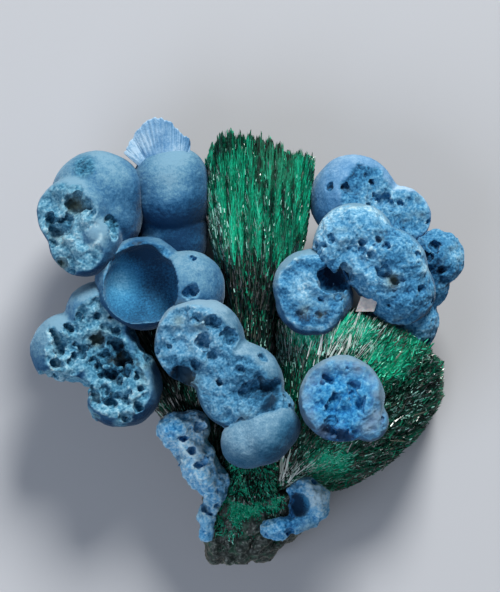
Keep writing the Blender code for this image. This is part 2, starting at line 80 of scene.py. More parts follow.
WORN_FROM = 0.3  # patches weaker than this leave the skin whole
HOLLOW_PASSES, NOOK_PASSES = 26, 5  # smoothing that tells wide hollows and narrow nooks
NOOK_GAIN = 2.0
SKIN_FACE, BROKEN_FACE, LINING_FACE = 0, 1, 2
FACE_SLOTS = [bpy.data.materials.new(name) for name in ("skin_face", "broken_face", "lining_face")]


# ---- modelling helpers

def select(*pieces):
    bpy.ops.object.select_all(action="DESELECT")
    for piece in pieces:
        piece.select_set(True)
    bpy.context.view_layer.objects.active = pieces[0]


def modify(piece, kind, **settings):
    """Apply one modifier to a piece."""
    select(piece)
    step = piece.modifiers.new("step", kind)
    for name, value in settings.items():
        setattr(step, name, value)
    bpy.ops.object.modifier_apply(modifier=step.name)
    return piece


def settle():
    """Put a new primitive's place and turn into its mesh."""
    piece = bpy.context.object
    select(piece)
    bpy.ops.object.transform_apply(location=True, rotation=True, scale=True)
    return piece


def join(pieces):
    if len(pieces) > 1:
        select(*pieces)
        bpy.ops.object.join()
    return pieces[0]


def copy_of(piece):
    other = piece.copy()
    other.data = piece.data.copy()
    SCENE.collection.objects.link(other)
    return other


def voxels(piece, grid):
    return modify(piece, "REMESH", mode="VOXEL", voxel_size=grid * MM)


def dress(piece, look):
    """Shade a piece smoothly and give it its one material."""
    select(piece)
    bpy.ops.object.shade_smooth()
    piece.data.materials.clear()
    piece.data.materials.append(look)


def thicken(sheet, height):
    """Pull a flat sheet into a closed block."""
    select(sheet)
    bpy.ops.object.mode_set(mode="EDIT")
    bpy.ops.mesh.select_all(action="SELECT")
    bpy.ops.mesh.extrude_region_move(TRANSFORM_OT_translate={"value": (0, 0, height * MM)})
    bpy.ops.mesh.select_all(action="SELECT")
    bpy.ops.mesh.normals_make_consistent(inside=False)
    bpy.ops.object.mode_set(mode="OBJECT")


def read(items, key, width=1, kind=np.int64):
    """One property of each of a mesh's items, as an array."""
    flat = np.empty(len(items) * width, dtype=kind)
    items.foreach_get(key, flat)
    return flat.reshape(-1, width) if width > 1 else flat


def places(mesh):
    return read(mesh.vertices, "co", 3, float)


def normals(mesh):
    return read(mesh.vertex_normals, "vector", 3, float)


def move_points(mesh, where):
    mesh.vertices.foreach_set("co", np.ascontiguousarray(where, dtype=np.float32).ravel())
    mesh.update()


def inside_box(points):
    """Keep points, in metres, a hair inside the frame's own box."""
    return np.clip(points, np.array(CAD_BOX[0]) + EDGE * MM, np.array(CAD_BOX[1]) - EDGE * MM)


def mark(mesh, name, values):
    """Keep one number per point under a name that a material reads."""
    layer = mesh.attributes.get(name) or mesh.attributes.new(name, "FLOAT", "POINT")
    layer.data.foreach_set("value", np.ascontiguousarray(values, dtype=np.float32))


def spread(mesh, values, times):
    """Average a value with its neighbours along the edges."""
    one, two = read(mesh.edges, "vertices", 2).T
    size = len(mesh.vertices)
    share = 1.0 + np.bincount(one, minlength=size) + np.bincount(two, minlength=size)
    for _ in range(times):
        total = np.bincount(one, values[two], size) + np.bincount(two, values[one], size)
        values = (values + total) / share
    return values


def cloud(name, kind, scale, **settings):
    """A solid pattern for a Displace modifier, with its size in millimetres."""
    pattern = bpy.data.textures.new(name, kind)
    pattern.noise_scale = scale * MM
    for key, value in settings.items():
        setattr(pattern, key, value)
    return pattern


def emboss(piece, pattern, height, mid=0.5, group=""):
    modify(piece, "DISPLACE", texture=pattern, strength=height * MM, mid_level=mid,
           texture_coords="LOCAL", vertex_group=group)


# ---- shattuckite

SWELLS = cloud("swells", "CLOUDS", 1.6, noise_depth=1)
CRUMBS = cloud("crumbs", "CLOUDS", 0.5, noise_depth=2)
GRAINS = cloud("grains", "CLOUDS", 0.2, noise_depth=1)
PORES = cloud("pores", "VORONOI", 0.8, distance_metric="DISTANCE")
FELT = cloud("felt", "CLOUDS", 0.3, noise_depth=2)


def ball(place, grow=0.0, detail=5, lump=LUMP):
    """A ball with low swellings."""
    x, y, z, r = place
    bpy.ops.mesh.primitive_ico_sphere_add(subdivisions=detail, radius=(r + grow) * MM)
    piece = settle()
    centre = np.array((x, y, z))
    out = places(piece.data) / MM
    swell = [noise.noise(Vector(at)) + 0.5 * noise.noise(Vector(at * 2.3)) for at in out * 0.45 + centre]
    move_points(piece.data, (centre + out * (1 + lump * np.array(swell))[:, None]) * MM)
    return piece


def grow_together(pieces, grid=GROW):
    return voxels(join(pieces), grid)


def two_faced(piece, face=SKIN_FACE):
    """Give a piece a slot for each kind of face, and all its faces one kind."""
    piece.data.materials.clear()
    for slot in FACE_SLOTS:
        piece.data.materials.append(slot)
    piece.data.polygons.foreach_set("material_index", [face] * len(piece.data.polygons))


def cut(piece, tool, face):
    """Cut a tool away. A cut that fails in the solver is done again with the tool a hair aside."""
    two_faced(tool, face)
    before = piece.data.copy()
    for _ in range(CUT_TRIES):
        modify(piece, "BOOLEAN", operation="DIFFERENCE", object=tool, solver="EXACT", material_mode="INDEX")
        if len(piece.data.vertices) > KEPT_SHARE * len(before.vertices):
            break
        piece.data = before.copy()
        move_points(tool.data, places(tool.data) + HAIR * MM)
    bpy.data.objects.remove(tool)


def break_slab(x, y, z, nx, ny, nz, half, dish=0.0, dish_wide=1.0, rough=0.6, spacing=1.7):
    """A block whose underside is a rough broken face, sunk in the middle by its dish."""
    cells = round(2 * half / SLAB_CELL)
    bpy.ops.mesh.primitive_grid_add(x_subdivisions=cells, y_subdivisions=cells, size=2 * half * MM)
    slab = settle()
    turn = Vector((0, 0, 1)).rotation_difference(Vector((nx, ny, nz))).to_matrix()
    centre = Vector((x, y, z))
    flat = places(slab.data) / MM
    for at in flat:
        spot = (turn @ Vector(at) + centre) / spacing
        sunk = dish * math.exp(-(math.hypot(at[0], at[1]) / dish_wide) ** 2)
        at[2] = rough * (noise.noise(spot) + 0.5 * noise.noise(spot * 2.3)) - sunk
    move_points(slab.data, flat * MM)
    thicken(slab, SLAB_HEIGHT)
    slab.matrix_world = turn.to_4x4()
    slab.location = centre * MM
    return settle()


def lobe(balls, breaks=(), melt=0, rough=None):
    """Balls grown together, with their broken faces cut.

    The skin is also lost wherever a face points up more than rough.
    """
    body = grow_together([ball(place) for place in balls])
    if melt:
        modify(body, "SMOOTH", factor=0.5, iterations=round(melt * MELT_STEPS))
    two_faced(body)
    if rough is not None:
        for face in body.data.polygons:
            if face.normal.z > rough:
                face.material_index = BROKEN_FACE
    for face in breaks:
        cut(body, break_slab(*face), BROKEN_FACE)
    return body


def vugs(body, count, seed):
    """Small chance pits over the broken faces."""
    mesh = body.data
    random = np.random.RandomState(seed)
    open_faces = [face for face in mesh.polygons
                  if face.material_index == BROKEN_FACE and face.normal.z > VUG_UP]
    picked = random.choice(len(open_faces), count)
    sizes = VUG_LEAST + VUG_MORE * random.random_sample(count) ** 2
    return [(*(open_faces[at].center / MM)[:2], size) for at, size in zip(picked, sizes)]


def pit_tool(body, pits, deep, lumpy):
    """Lumpy pits, each where a line straight down from the show side meets the body."""
    tree = BVHTree.FromObject(body, bpy.context.evaluated_depsgraph_get())
    tools = []
    for x, y, r in pits:
        hit = tree.ray_cast(Vector((x, y, ABOVE)) * MM, Vector((0, 0, -1)))[0]
        if hit:
            tool = ball((0, 0, 0, r * PIT_WIDE), detail=4 if r > LARGE_PIT else 3, lump=0.0)
            out = places(tool.data) / MM
            centre = np.array((x, y, hit.z / MM - PIT_SUNK * r))
            lump = np.array([noise.noise(Vector(at)) for at in out * PIT_LUMPS / r + centre])
            move_points(tool.data, (centre + out * (1, 1, deep) * (1 + lumpy * lump)[:, None]) * MM)
            tools.append(tool)
    return grow_together(tools, PIT_GRID)


def growth(name, node, parts, pits=(), linings=(), crumble=1.0, chance=0, look=None, tints_and_painted_light=(),
           stains=(), worn=(), deep=1.6, lumpy=0.5):
    """Grow lobes into one piece, sink its pits, roughen what is broken, and mark it for its material.

    Tints, stains and worn are soft patches: x, y, radius, strength. The tints lighten or darken the colour:
    some are the mineral's own tone, and many are painted light and painted shade.
    """
    body = join(parts)
    regrow(body, GROW)
    for hollow in linings:
        cut(body, hollow, LINING_FACE)
    pits = list(pits) + (vugs(body, chance, len(name)) if chance else [])
    if pits:
        cut(body, pit_tool(body, pits, deep, lumpy), BROKEN_FACE)
    kinds = regrow(body, SKIN)
    mesh = body.data
    lining = spread(mesh, (kinds == LINING_FACE).astype(float), FADE)
    broken = spread(mesh, (kinds == BROKEN_FACE).astype(float), FADE)
    lost = spots(places(mesh) / MM, worn) * (normals(mesh)[:, 2] > 0)
    broken = np.clip(broken + 2 * np.clip(lost - WORN_FROM, 0, 0.5), 0, 1)
    group = body.vertex_groups.new(name="crumbly")
    for level in range(1, LEVELS + 1):
        at = np.nonzero(np.round(broken * LEVELS) == level)[0]
        if len(at):
            group.add(at.tolist(), level / LEVELS, "REPLACE")
    for pattern, height, mid in ((SWELLS, 0.6 * crumble, 0.5), (PORES, 0.3 * crumble, 0.6),
                                 (CRUMBS, 0.26 * crumble ** 0.5, 0.5), (GRAINS, 0.16, 0.5)):
        emboss(body, pattern, height, mid, "crumbly")
    emboss(body, FELT, 0.08)
    body.vertex_groups.clear()
    move_points(mesh, inside_box(places(mesh)))
    mark(mesh, "broken", broken)
    mark(mesh, "lining", lining)
    # Depth below the smoothed surface: the material darkens pits and nooks and lightens crumbs by it,
    # partly as painted shade and painted highlight.
    mark(mesh, "hollow", hollows(body, HOLLOW_PASSES))
    mark(mesh, "nook", hollows(body, NOOK_PASSES) * NOOK_GAIN)
    # The tints as an attribute: partly the mineral's own tone, partly painted light and painted shade.
    mark(mesh, "tint_and_painted_light", spots(places(mesh) / MM, tints_and_painted_light))
    mark(mesh, "stained", spots(places(mesh) / MM, stains))
    dress(body, look or BLUE)
    name_piece(body, name, "shattuckite", node)


def spots(at, table):
    """How strongly each place lies in a table's soft round patches."""
    value = np.zeros(len(at))
    for x, y, radius, strength in table:
        far = np.hypot(at[:, 0] - x, at[:, 1] - y) / radius
        value += strength * np.exp(-far ** 2)
    return value


def ring(x, y, across, size, strength, start=0, stop=360, count=12):
    """Soft patches set round an arc, for a tint that follows a rim, such as a stain or a painted highlight
    on a lit rim.
    """
    turns = np.radians(np.linspace(start, stop, count))
    return [(x + across * math.cos(turn), y + across * math.sin(turn), size, strength) for turn in turns]


def carry_faces(source, target):
    """Give a mesh's points and faces the kind of the nearest face of an earlier mesh."""
    old = source.data
    kind = read(old.polygons, "material_index")
    corners = [vert.co for vert in old.vertices]
    tree = BVHTree.FromPolygons(corners, [face.vertices for face in old.polygons])
    at_points = np.array([kind[tree.find_nearest(vert.co)[2]] for vert in target.data.vertices])
    two_faced(target)
    first = read(target.data.loops, "vertex_index")[read(target.data.polygons, "loop_start")]
    target.data.polygons.foreach_set("material_index", at_points[first])
    return at_points


def regrow(body, grid):
    """Remesh a piece on another grid, and return the kind of face that each point lies on."""
    old = copy_of(body)
    voxels(body, grid)
    kinds = carry_faces(old, body)
    bpy.data.objects.remove(old)
    return kinds


def hollows(body, passes):
    """How far each point lies below (+) or above (-) the smoothed surface, in millimetres."""
    smooth = modify(copy_of(body), "SMOOTH", factor=0.5, iterations=passes)
    gap = ((places(smooth.data) - places(body.data)) * normals(body.data)).sum(1) / MM
    bpy.data.objects.remove(smooth)
    return gap


def name_piece(piece, name, mineral, *nodes):
    piece.name = name
    piece.data.name = name
    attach(piece, "root")
    if nodes:
        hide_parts(*nodes)


# ---- materials

def linear(code):
    """An sRGB hex colour as the linear values that a shader takes."""
    values = [int(code[at:at + 2], 16) / 255 for at in (1, 3, 5)]
    return tuple(v / 12.92 if v <= 0.04045 else ((v + 0.055) / 1.055) ** 2.4 for v in values) + (1.0,)


def add(tree, kind, inputs=(), out=0, stops=(), **settings):
    """Add a shader node and return one of its outputs.

    Inputs, by number or name, take a value, a hex colour or another node's output. Stops are a colour
    ramp's, and settings the node's own.
    """
    node = tree.nodes.new("ShaderNode" + kind)
    for name, value in settings.items():
        setattr(node, name, value)
    for _ in stops[2:]:
        node.color_ramp.elements.new(0.5)
    for number, (at, colour) in enumerate(stops):
        element = node.color_ramp.elements[number]
        element.position = at
        element.color = linear(colour)
    for key, value in inputs.items() if isinstance(inputs, dict) else enumerate(inputs):
        if isinstance(value, bpy.types.NodeSocket):
            tree.links.new(value, node.inputs[key])
        else:
            node.inputs[key].default_value = linear(value) if isinstance(value, str) else value
    return node.outputs[out]


def material(name, **settings):
    made = bpy.data.materials.new(name)
    made.use_nodes = True
    shader = made.node_tree.nodes["Principled BSDF"]
    for key, value in settings.items():
        shader.inputs[key.replace("_", " ")].default_value = value
    return made, made.node_tree, shader


def total(tree, start, *terms):
    """A start value plus each pattern times its share."""
    for pattern, share in terms:
        start = add(tree, "Math", (pattern, share, start), operation="MULTIPLY_ADD")
    return start


def grain(tree, millimetres, detail=2.0, stretch=(1, 1, 1)):
    """Noise whose grains are about so many millimetres across."""
    place = add(tree, "TexCoord", out="Object")
    scale = [1 / (millimetres * MM * along) for along in stretch]
    sized = add(tree, "Mapping", {"Vector": place, "Scale": scale})
    return add(tree, "TexNoise", {"Vector": sized, "Scale": 1.0, "Detail": detail})


VELVET = ("#0a3458", "#1c5079", "#3a6d94", "#5a89a6", "#6f98b1")
GREY_VELVET = ("#14405f", "#2b5f80", "#4a7794", "#648ca6", "#7b9fb6")
SKIN_STEPS = 0.05, 0.35, 0.62, 0.85, 1.0  # where the five tones of a skin and of a break lie
CRUMB_STEPS = 0.0, 0.25, 0.5, 0.76, 1.0
LINING = (0.3, "#0d2f4c"), (0.46, "#1b4f74"), (0.62, "#2b709c"), (0.85, "#4795c1"), (1.0, "#6fb2d6")
PAINTED_LIGHT_SIDE = -0.12, 0.75, 0.45  # the way that the paler sides of the balls face, close to the key light: partly the felt's fuzz, partly painted light
# The fibres are a few thousandths of a millimetre thick, too fine to show, so the felt is drawn coarser.
FELT_GRAIN, NAP_GRAIN = 0.18, 0.09
CRUMB_GRAIN, MOTTLE_GRAIN, CLOUD_GRAIN, RUST_GRAIN = 0.26, 0.7, 3.0, 2.0


def shattuckite(name, crumbs, coat=VELVET, stain="#7d7c52", speckle=0.5):
    """Shattuckite, grown as felted fibre balls: dull velvet skin, crumbly porous where it is broken."""
    made, tree, shader = material(name, Roughness=0.9, Specular_IOR_Level=0.2, Sheen_Weight=0.4,
                                  Sheen_Roughness=0.35, Sheen_Tint=linear("#b4d0e2"))
    broken, lining, hollow, nook, tint_and_painted_light, stained = (
        add(tree, "Attribute", out="Fac", attribute_name=attribute)
        for attribute in ("broken", "lining", "hollow", "nook", "tint_and_painted_light", "stained"))
    fine, middle, wide = grain(tree, FELT_GRAIN, 3.0), grain(tree, MOTTLE_GRAIN), grain(tree, CLOUD_GRAIN)

    # The skin: paler on the sides that face the key light, partly the felt's fuzz and partly painted light;
    # deep blue where it is worn off, and as painted shade on the lower sides.
    facing = add(tree, "TexCoord", out="Normal")
    side = add(tree, "VectorMath", (facing, PAINTED_LIGHT_SIDE), out="Value", operation="DOT_PRODUCT")
    fuzz_and_painted_light = total(tree, -0.58, (side, 0.75), (wide, 0.8), (middle, 0.5), (fine, 0.55), (tint_and_painted_light, 1.0))
    skin = add(tree, "ValToRGB", (fuzz_and_painted_light,), stops=tuple(zip(SKIN_STEPS, coat)))

    # Broken: dark in the pits and nooks, partly their deeper colour and partly painted shade; pale on the
    # crumbs that stand out, a painted highlight; speckled by loose grains and stained here and there.
    level = total(tree, 0.3 - 0.8 * speckle, (hollow, -1.1), (nook, -0.77), (middle, 0.5), (tint_and_painted_light, 0.8),
                  (grain(tree, CRUMB_GRAIN), 1.6 * speckle))
    crumb = add(tree, "ValToRGB", (level,), stops=tuple(zip(CRUMB_STEPS, crumbs)))
    rust = {"Value": grain(tree, RUST_GRAIN, 3.0), "From Min": 0.57, "From Max": 0.57 + 1 / 3}
    rust = add(tree, "MapRange", rust)
    rust = add(tree, "Math", (rust, broken), operation="MULTIPLY")

    # A lining: the smooth inside of an opened ball, finely speckled.
    fibres = grain(tree, 0.4, stretch=(1, 3, 3))
    flow = total(tree, 0.0, (fibres, 0.2), (fine, 0.55), (wide, 0.25), (tint_and_painted_light, 1.0))
    inside = add(tree, "ValToRGB", (flow,), stops=LINING)

    tone = skin
    for share, over in ((broken, crumb), (lining, inside), (total(tree, stained, (rust, 0.5)), stain)):
        tone = add(tree, "Mix", {0: share, 6: tone, 7: over}, out=2, data_type="RGBA")
    tree.links.new(tone, shader.inputs["Base Color"])
    rough = total(tree, fine, (grain(tree, NAP_GRAIN), 1.0))
    bump = add(tree, "Bump", {"Height": rough, "Distance": 0.06 * MM, "Strength": 0.6})
    tree.links.new(bump, shader.inputs["Normal"])
    return made


def malachite(name, *stops):
    """Malachite in fibrous crystals: green glassy needles, near black where they lie deep."""
    made, tree, shader = material(name, Roughness=0.22, IOR=1.7)
    tone, grey = (add(tree, "Attribute", out="Fac", attribute_name=kind) for kind in ("tone", "grey"))
    level = total(tree, -0.15, (tone, 1.0), (grain(tree, 0.25, 1.0), 0.3))
    colour = add(tree, "ValToRGB", (level,), stops=stops)
    colour = add(tree, "Mix", {0: grey, 6: colour, 7: "#57564f"}, out=2, data_type="RGBA")
    tree.links.new(colour, shader.inputs["Base Color"])
    return made


BLUE_CRUMBS = ("#0d2c48", "#1a547f", "#3f82ae", "#72abcd", "#aed2e4")
BLUE = shattuckite("shattuckite_blue", BLUE_CRUMBS)
TEAL = shattuckite("shattuckite_teal", ("#0d2a3c", "#1d5270", "#427f9f", "#78adc6", "#b2d3df"))
GREY = shattuckite("shattuckite_grey", ("#0e3753", "#20577b", "#4381a8", "#74a7c6", "#aecedd"), GREY_VELVET)
RINGED = shattuckite(
    "shattuckite_ringed", ("#0a3f6b", "#12609a", "#3388bd", "#66acd4", "#a9d0e4"), GREY_VELVET,
    stain="#76889a")
FRESH = shattuckite(
    "shattuckite_fresh", BLUE_CRUMBS, ("#22547f", "#3f76a4", "#6191bb", "#86aecf", "#a5c4dd"))
SPECKLED = shattuckite(
    "shattuckite_speckled", ("#0b2c4e", "#17598e", "#3d8dc4", "#7cb9e0", "#b6d9ec"), stain="#70878e",
    speckle=0.55)
# The top of the ramp: 0.9 is a lit-looking emerald for the mats and tufts, partly painted light, and 1.0
# the pale of the glints, a painted highlight.
NEEDLES = malachite(
    "malachite_needles", (0.0, "#020f0c"), (0.3, "#04372c"), (0.55, "#067a5b"), (0.78, "#12c298"),
    (0.9, "#3ad9b4"), (1.0, "#b4eee2"))
# Near-white needles for the bright glints on the silky fibres: painted highlights.
PAINTED_GLINT_NEEDLES = malachite("malachite_painted_glint_needles", (0.0, "#a9c4b9"), (0.5, "#e2ebe7"), (1.0, "#fafcfb"))


# ---- the tables of the balls

CROWNED_BALL = [(-7.75, 15.8, 8.5, 4.05), (-7.6, 14.6, 8.6, 3.95)]
CROWNED_TRUNK = [(-7.5, 11.6, 7.6, 3.5), (-7.5, 10.0, 7.7, 3.4)]
UPPER_LEFT_BALL = [(-15.1, 14.65, 9.5, 4.65), (-15.1, 12.85, 9.5, 4.65)]
UPPER_LEFT_SCAR = [(-17.3, 12.75, 12.5, 3.8), (-16.3, 10.25, 12.5, 3.7)]
SCAR_BREAK = (-17.0, 11.5, 14.6, -0.45, -0.10, 1.0, 6.0)
SCAR_CORE = [(-14.8, 10.75, 14.0, 1.7)]
BOWL_BALL = [(-10.6, 5.95, 11.5, 4.7)]
BOWL_BREAK = (-10.6, 5.95, 13.8, 0.10, 0.05, 1.0, 6.0)
BOWL_HOLLOW = [(-11.0, 5.35, 13.9, 3.4), (-9.8, 5.45, 13.9, 3.4), (-10.7, 6.6, 14.8, 3.35)]
BOWL_NEIGHBOUR = [(-6.2, 5.35, 12.0, 3.9)]
BROKEN_LEFT = [
    (-14.8, 2.65, 10.5, 3.6), (-18.2, -0.75, 10.0, 3.7), (-12.8, -4.35, 10.5, 4.2),
    (-14.3, -0.75, 10.5, 3.5)]
BROKEN_LEFT_BREAKS = [
    (-14.5, -1.0, 13.7, -0.05, -0.03, 1.0, 11.0, 1.6, 4.8), (-19.5, -3.4, 10.0, -0.20, -1.0, 0.20, 4.2),
    (-16.0, -7.0, 10.5, -0.75, -0.75, 0.20, 3.0)]
MIDDLE_BALLS = [(-4.8, 0.05, 14.2, 4.5), (-0.8, -4.25, 14.2, 4.4)]
MIDDLE_BREAK = (-3.0, -2.0, 16.6, -0.25, -0.15, 1.0, 8.0)
SMOOTH_BALL = [(-0.1, -9.9, 14.9, 2.7), (1.4, -9.2, 15.0, 3.0), (2.9, -8.4, 14.9, 2.4)]
ROUGH_BRIDGE = [(-1.5, -6.5, 14.2, 2.1), (0.5, -6.5, 14.6, 2.6), (2.5, -6.5, 14.3, 2.1)]
HIGH_RIGHT_BALL = [(10.7, 14.35, 8.8, 4.5), (15.2, 12.55, 9.0, 3.2)]
HIGH_RIGHT_BREAK = (12.6, 14.2, 11.9, 0.42, 0.20, 1.0, 8.0)
BROKEN_RIGHT = [(10.7, 9.75, 13.0, 4.2), (14.0, 7.45, 13.0, 4.0), (15.2, 5.25, 12.2, 3.6)]
BROKEN_RIGHT_BREAK = (13.0, 7.5, 16.0, 0.05, -0.05, 1.0, 8.5)
ROUND_SLICE = [(6.4, 5.55, 12.6, 3.9), (6.6, 4.45, 12.6, 3.9)]
ROUND_SLICE_BREAK = (6.5, 5.0, 15.1, -0.15, -0.05, 1.0, 6.0)
RIGHT_EDGE = [(19.0, 8.45, 10.0, 2.8), (17.7, 5.75, 9.8, 2.5)]
BEHIND_RIGHT = [(16.0, 2.05, 9.5, 3.2), (13.7, 2.45, 10.0, 2.0)]
ROUND_BALL = [(9.3, -5.55, 16.2, 4.3), (12.0, -7.85, 16.0, 2.0)]
ROUND_BALL_BREAK = (9.5, -5.9, 18.0, 0.0, 0.05, 1.0, 6.5)
LOWER_CRUST = [
    (-7.1, -8.9, 9.6, 2.0), (-5.6, -8.7, 9.5, 1.9), (-6.0, -10.2, 9.4, 2.0), (-5.2, -11.6, 9.3, 2.0),
    (-4.6, -12.9, 9.1, 2.0), (-3.6, -14.0, 9.0, 1.8), (-3.5, -15.0, 8.9, 1.5), (-3.8, -16.2, 8.6, 1.1),
    (-4.1, -17.4, 8.4, 0.95), (-4.15, -18.5, 8.3, 0.8), (-4.2, -19.4, 8.1, 0.75)]
BROKEN_SHELL = [
    (4.9, -14.9, 9.0, 1.0), (6.0, -14.8, 9.2, 1.3), (7.0, -15.6, 9.3, 1.3), (7.0, -16.8, 9.1, 1.2),
    (6.0, -17.8, 8.9, 1.1), (4.8, -18.3, 8.8, 1.1), (3.4, -18.7, 8.7, 1.2), (2.2, -18.9, 8.5, 1.1),
    (5.4, -16.4, 8.4, 1.3)]
SHELL_HOLLOW = (4.9, -16.4, 10.2, 1.3)

# Pits: x, y, radius.
SCAR_PITS = [
    (-16.1, 13.6, 0.5), (-17.3, 13.8, 0.9), (-19.7, 12.4, 0.55), (-18.0, 12.2, 0.6), (-19.1, 10.9, 0.8),
    (-18.3, 11.2, 0.5), (-18.6, 7.8, 0.6), (-13.9, 12.2, 0.45), (-13.4, 11.5, 0.5), (-13.4, 10.7, 0.45)]
BOWL_PITS = [(-5.6, 5.2, 0.7), (-5.5, 8.4, 0.35)]
BROKEN_LEFT_PITS = [
    (-19.6, 0.95, 0.5), (-19.1, 0.45, 0.6), (-18.8, -0.25, 0.5), (-18.9, -0.95, 0.45),
    (-19.3, -2.15, 0.5), (-16.6, -0.65, 0.4), (-16.6, -1.35, 0.4), (-17.9, 1.45, 0.45),
    (-16.9, 2.55, 0.3), (-15.2, 0.35, 0.65), (-14.8, -0.05, 0.4), (-13.1, -0.3, 0.75),
    (-12.4, -1.65, 0.9), (-14.1, -1.4, 0.65), (-13.7, -3.3, 0.65), (-14.7, -3.35, 0.4),
    (-12.3, -3.15, 0.55), (-12.8, -4.05, 0.4), (-14.2, -4.5, 0.4), (-14.2, -4.9, 0.4),
    (-14.9, -2.55, 0.4), (-15.5, -5.1, 0.4), (-15.3, -5.9, 0.4), (-13.6, -6.05, 0.5), (-12.9, -5.35, 0.4),
    (-12.2, -5.4, 0.4), (-12.1, -6.0, 0.4), (-12.2, -7.45, 0.55), (-11.7, -4.9, 0.3), (-10.8, -4.7, 0.3),
    (-10.6, -0.7, 0.4), (-10.05, -1.65, 0.5), (-11.3, 0.75, 0.5), (-9.4, 0.3, 0.5), (-13.2, 1.15, 0.4),
    (-13.6, 2.55, 0.3), (-14.5, 1.55, 0.3)]
MIDDLE_PITS = [
    (-3.5, 2.15, 0.7), (-5.1, 2.45, 0.55), (-1.8, 0.55, 0.85), (-4.5, 0.05, 0.7), (-5.1, -2.15, 0.5),
    (-6.6, -3.25, 1.1), (-3.5, -1.25, 0.45), (1.4, -1.45, 0.5), (-0.8, -2.65, 0.4), (-0.3, -5.05, 0.6),
    (0.4, -4.55, 0.8), (1.6, -4.35, 0.9), (2.8, -4.35, 0.8)]
HIGH_RIGHT_PITS = [
    (9.7, 15.55, 0.4), (8.2, 15.55, 0.35), (13.7, 14.25, 0.7), (14.4, 13.6, 0.5), (12.6, 14.6, 0.4)]
BROKEN_RIGHT_PITS = [
    (8.7, 6.55, 1.3), (9.6, 6.9, 0.9), (13.5, 6.75, 0.7), (14.6, 6.1, 0.6), (8.2, 10.25, 0.4),
    (11.3, 10.05, 0.4), (10.2, 3.75, 0.8), (7.6, 9.6, 0.3), (12.9, 10.2, 0.3)]
ROUND_SLICE_PITS = [
    (5.2, 3.05, 0.35), (7.0, 2.75, 0.35), (7.2, 4.25, 0.3), (9.0, 4.4, 0.4), (8.6, 6.7, 1.5)]
RIGHT_EDGE_PITS = [
    (18.2, 5.25, 0.5), (17.2, 3.75, 0.6), (18.6, 9.6, 0.5), (17.9, 8.6, 0.5), (19.4, 7.2, 0.4)]
ROUND_BALL_PITS = [
    (8.6, -5.55, 0.7), (8.3, -6.45, 0.6), (10.5, -4.55, 0.7), (10.9, -5.75, 0.8), (7.9, -3.65, 0.5),
    (8.4, -7.75, 0.4), (7.7, -9.0, 0.9), (9.4, -9.3, 0.8), (10.8, -9.0, 0.5)]
CRUST_PITS = [
    (-4.8, -15.75, 0.5), (-4.3, -16.75, 0.5), (-6.5, -9.6, 0.4), (-5.6, -10.9, 0.4), (-5.0, -12.4, 0.4)]

CROWN_FOOT = (-10.9, 17.6), (-5.5, 17.9)  # the ends of the line that it stands on
CROWN_Z = 9.3
CROWN_RIM = [
    (-12.5, 19.0), (-12.3, 19.5), (-11.8, 20.4), (-11.2, 21.4), (-10.3, 22.3), (-9.3, 22.75),
    (-8.5, 22.5), (-7.8, 22.3), (-7.2, 21.6), (-6.6, 21.0), (-5.9, 20.6), (-5.8, 20.1), (-6.2, 19.3)]
CROWN_THICK = 2.2
CROWN_CELLS = 180, 26  # points across and along its fibres
CROWN_FACETS, FACET_DEEP = 3, 0.75
FIBRE_DEEP = 0.07


def crown():
    """The broken fan of fibres on the top ball: a ribbed sheet that spreads from its foot."""
    across, along = CROWN_CELLS
    bpy.ops.mesh.primitive_grid_add(x_subdivisions=across, y_subdivisions=along, size=2.0)
    fan = settle()
    left, right = np.array(CROWN_FOOT)
    rim = np.array(CROWN_RIM)
    made, streak = [], []
    for at in places(fan.data):
        u, v = (at[0] + 1) / 2, (at[1] + 1) / 2
        step = u * (len(rim) - 1)
        low = min(int(step), len(rim) - 2)
        edge = rim[low] + (rim[low + 1] - rim[low]) * (step - low)
        foot = left + (right - left) * u
        edge = edge + (edge - foot) * 0.06 * (noise.noise(Vector((u * 24, 0, 0))) - 0.4)
        bend = u * CROWN_FACETS + 0.35 + 0.4 * noise.noise(Vector((u * 4, v * 0.8, 2.0)))
        fibre = noise.noise(Vector((u * 45, v * 1.5, 5.0)))
        fibre += 0.5 * noise.noise(Vector((u * 100, v * 3.0, 9.0)))
        rib = (0.3 + 0.7 * v) * (FACET_DEEP * abs(bend % 2 - 1) + FIBRE_DEEP * fibre)
        height = CROWN_Z + 0.5 - 0.3 * v + rib + 0.5 * math.sin(math.pi * u)
        made.append((*(foot + (edge - foot) * v), height))
        streak.append(0.3 - 0.3 * u + 0.12 * fibre + 0.25 * noise.noise(Vector((u * 5, v * 2.5, 1.0))))
    move_points(fan.data, np.array(made) * MM)
    for name in ("broken", "lining", "hollow", "nook", "stained"):
        mark(fan.data, name, np.zeros(len(made)))
    mark(fan.data, "tint_and_painted_light", streak)
    thicken(fan, -CROWN_THICK)
    move_points(fan.data, inside_box(places(fan.data)))
    dress(fan, FRESH)
    name_piece(fan, "crown", "shattuckite", LEFT)


def bowl_hollow(grow=0.0):
    return grow_together([ball(place, grow) for place in BOWL_HOLLOW], HOLLOW_GRID)


LEFT, RIGHT = "shattuckite_left_cluster", "shattuckite_right_cluster"
# Painted light and shade in the bowl's hollow: the left inner wall lighter as if lit, the right wall,
# middle and top band darker as if shaded.
BOWL_PAINTED_LIGHT_AND_SHADE = [
    (-12.5, 6.2, 2.1, 0.47), (-8.7, 6.3, 1.7, -0.18), (-10.4, 5.7, 1.3, -0.1), (-10.5, 8.6, 1.8, -0.05)]
crown()
# The crowned ball's lower trunk and the band above it are painted darker: painted shade.
growth(
    "crowned_ball", LEFT, [lobe(CROWNED_BALL, melt=20), lobe(CROWNED_TRUNK, melt=6)],
    tints_and_painted_light=[(-7.2, 9.8, 2.6, -0.6), (-4.3, 13.3, 2.0, -0.22), (-8.5, 16.2, 2.2, 0.08),
           (-8.0, 12.6, 1.6, -0.16)])
